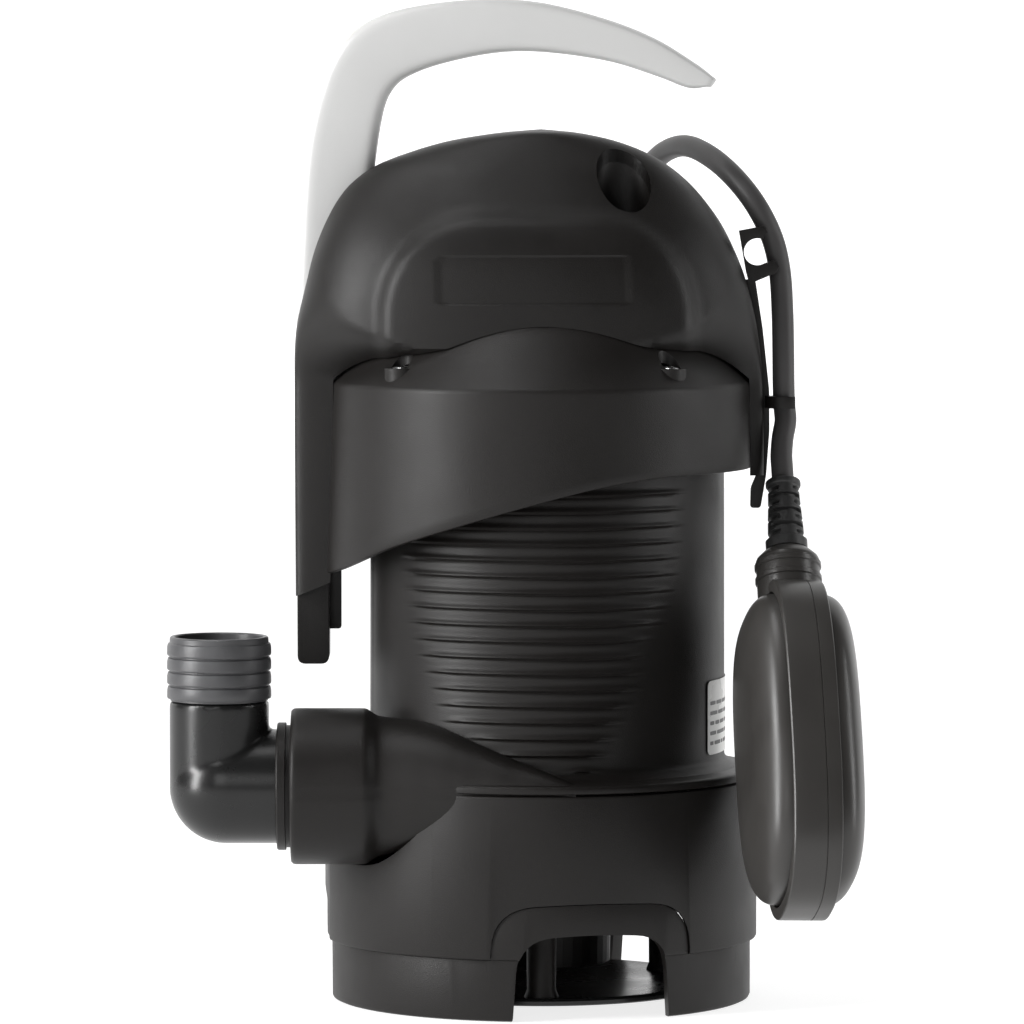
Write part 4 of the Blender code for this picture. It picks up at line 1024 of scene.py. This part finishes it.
def cross_screw(name, centre, head, height, foot, node):
    """A pan-head screw with a cross recess; its top is at the height given in centre."""
    made = turned(name, [
        (0, 0), (head * 0.45, -0.08), (head * 0.8, -0.4), (head * 0.96, -0.9), (head, -1.4),
        (head, -height), (head * 0.52, -height), (head * 0.52, -foot), (0, -foot - 1)],
        STEEL, 56, centre=centre)
    reach, half = head * 0.62, 0.55
    slit = [(-reach, -half), (reach, -half), (reach, half), (-reach, half)]
    for turn in (28, 118):
        place = Matrix.Translation(centre) @ Matrix.Rotation(math.radians(turn), 4, "Z")
        combine(made, prism(f"{name}_arm", slit, -1.3, 1, STEEL, body=None, where=place))
    stand_for(node)


def gland(name, side):
    """A round nut with a domed cap where a lead enters the back of the head."""
    place = Matrix.Translation((side * GLAND_X, 64, GLAND_Z))
    turn = place @ Matrix.Rotation(math.radians(-90), 4, "X")
    bore = CORD_R + 0.2 if side > 0 else 0.0
    nut = turned(f"{name}_nut", [(bore, 0.2), (9.1, 0.2), (9.1, 19.5), (bore, 19.5)], SEAL, 48,
                 where=turn)
    outline = [(8.9, 19.3), (9.0, 20), (8.8, 21.0), (8.2, 21.6), (7.9, 27), (7.2, 29), (6.0, 29.8)]
    outline += [(bore, 29.8), (bore, 19.3)] if bore else [(0, 29.8), (0, 19.3)]
    cap = turned(f"{name}_cap", [(min(r, 9.2), z - 9.9) for r, z in outline], SEAL, 64, where=turn)
    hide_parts(name)
    for made in (nut, cap):
        smooth(made, 30)


def divided(low, high, step=1.5):
    """Even steps of about the given size, two at least."""
    count = max(2, round((high - low) / step))
    return [low + (high - low) * i / count for i in range(count + 1)]


def film(name, block, radius, corner, skin):
    """A thin sheet on the motor tube: start and end in mm along the tube from +X, then heights."""
    start, end, low, high = block
    across, up = divided(start, end), divided(low, high)
    verts = []
    for z in up:
        for s in across:
            middle = Vector((min(max(s, start + corner), end - corner),
                             min(max(z, low + corner), high - corner)))
            reach = Vector((s, z)) - middle
            if reach.length > corner > 0:
                reach *= corner / reach.length
            place = middle + reach
            a = place.x / MOTOR_R
            verts.append((MOTOR_X + radius * math.cos(a), radius * math.sin(a), place.y))
    return build(name, verts, grid_faces(len(up), len(across)), skin, 60)


def label():
    low, high = 97.4, 126.2
    start, end = math.radians(-27) * MOTOR_R, math.radians(20) * MOTOR_R
    sheet = film("rating_label_visual", (start, end, low, high), MOTOR_R + 0.62, 2.4, FILM)
    stand_for("rating_label")
    # Five lines of plain bars: where the gaps lie, as shares of a 44 mm line
    lines = ((0.15, 0.34, 0.52), (0.2, 0.41), (0.12, 0.26, 0.44, 0.6), (0.17, 0.46), (0.1, 0.3, 0.38))
    for row, gaps in enumerate(lines):
        z = high - 9.5 - 3.9 * row
        stops = [0.0, *gaps, 0.72]
        for number, (a, b) in enumerate(zip(stops, stops[1:])):
            bar = film(f"label_line_{row + 1}_{number + 1}", (
                start + 2.2 + 44 * a, start + 1.2 + 44 * b, z, z + 1.5), MOTOR_R + 0.66, 0.3, INK)


clips()
for number, (x, y) in enumerate(BAND_SCREWS):
    node = f"band_screw_{number + 1}"
    cross_screw(f"{node}_visual", (x, y, 249.4), 3.6, 2.6, 9.5, node)
cross_screw("cowl_screw_visual", (ACCESS[0], ACCESS[1], 295.6), 5.0, 4.0, 12.0,
            "cowl_screw")
gland("float_cable_gland", 1)
gland("power_cable_inlet", -1)
label()


# ---------------------------------------------------------------- CAD nodes that stay as they are
KEPT = (
    (BLACK, "motor_cap volute_plate"),
    (BRONZE, "lower_bearing_cage upper_bearing_cage"),
    (CAST, "bearing_carrier seal_plate"),
    (CERAMIC, "seal_seat"),
    (COPPER, "lower_end_winding upper_end_winding"),
    (CORE, "rotor_core stator_core"),
    (NYLON, "ball_track capacitor terminal_block"),
    (SEAL, "cap_o_ring capacitor_strap lip_seal microswitch seal_head"),
    (STEEL, "float_ball handle_screw impeller_nut lower_bearing_inner lower_bearing_outer"
            " motor_shaft seal_spring switch_lever upper_bearing_inner upper_bearing_outer"),
    (WHEEL, "impeller"),
)
for skin, nodes in KEPT:
    for node in nodes.split():
        for place in frame["nodes"][node].material_slots:
            place.material = skin
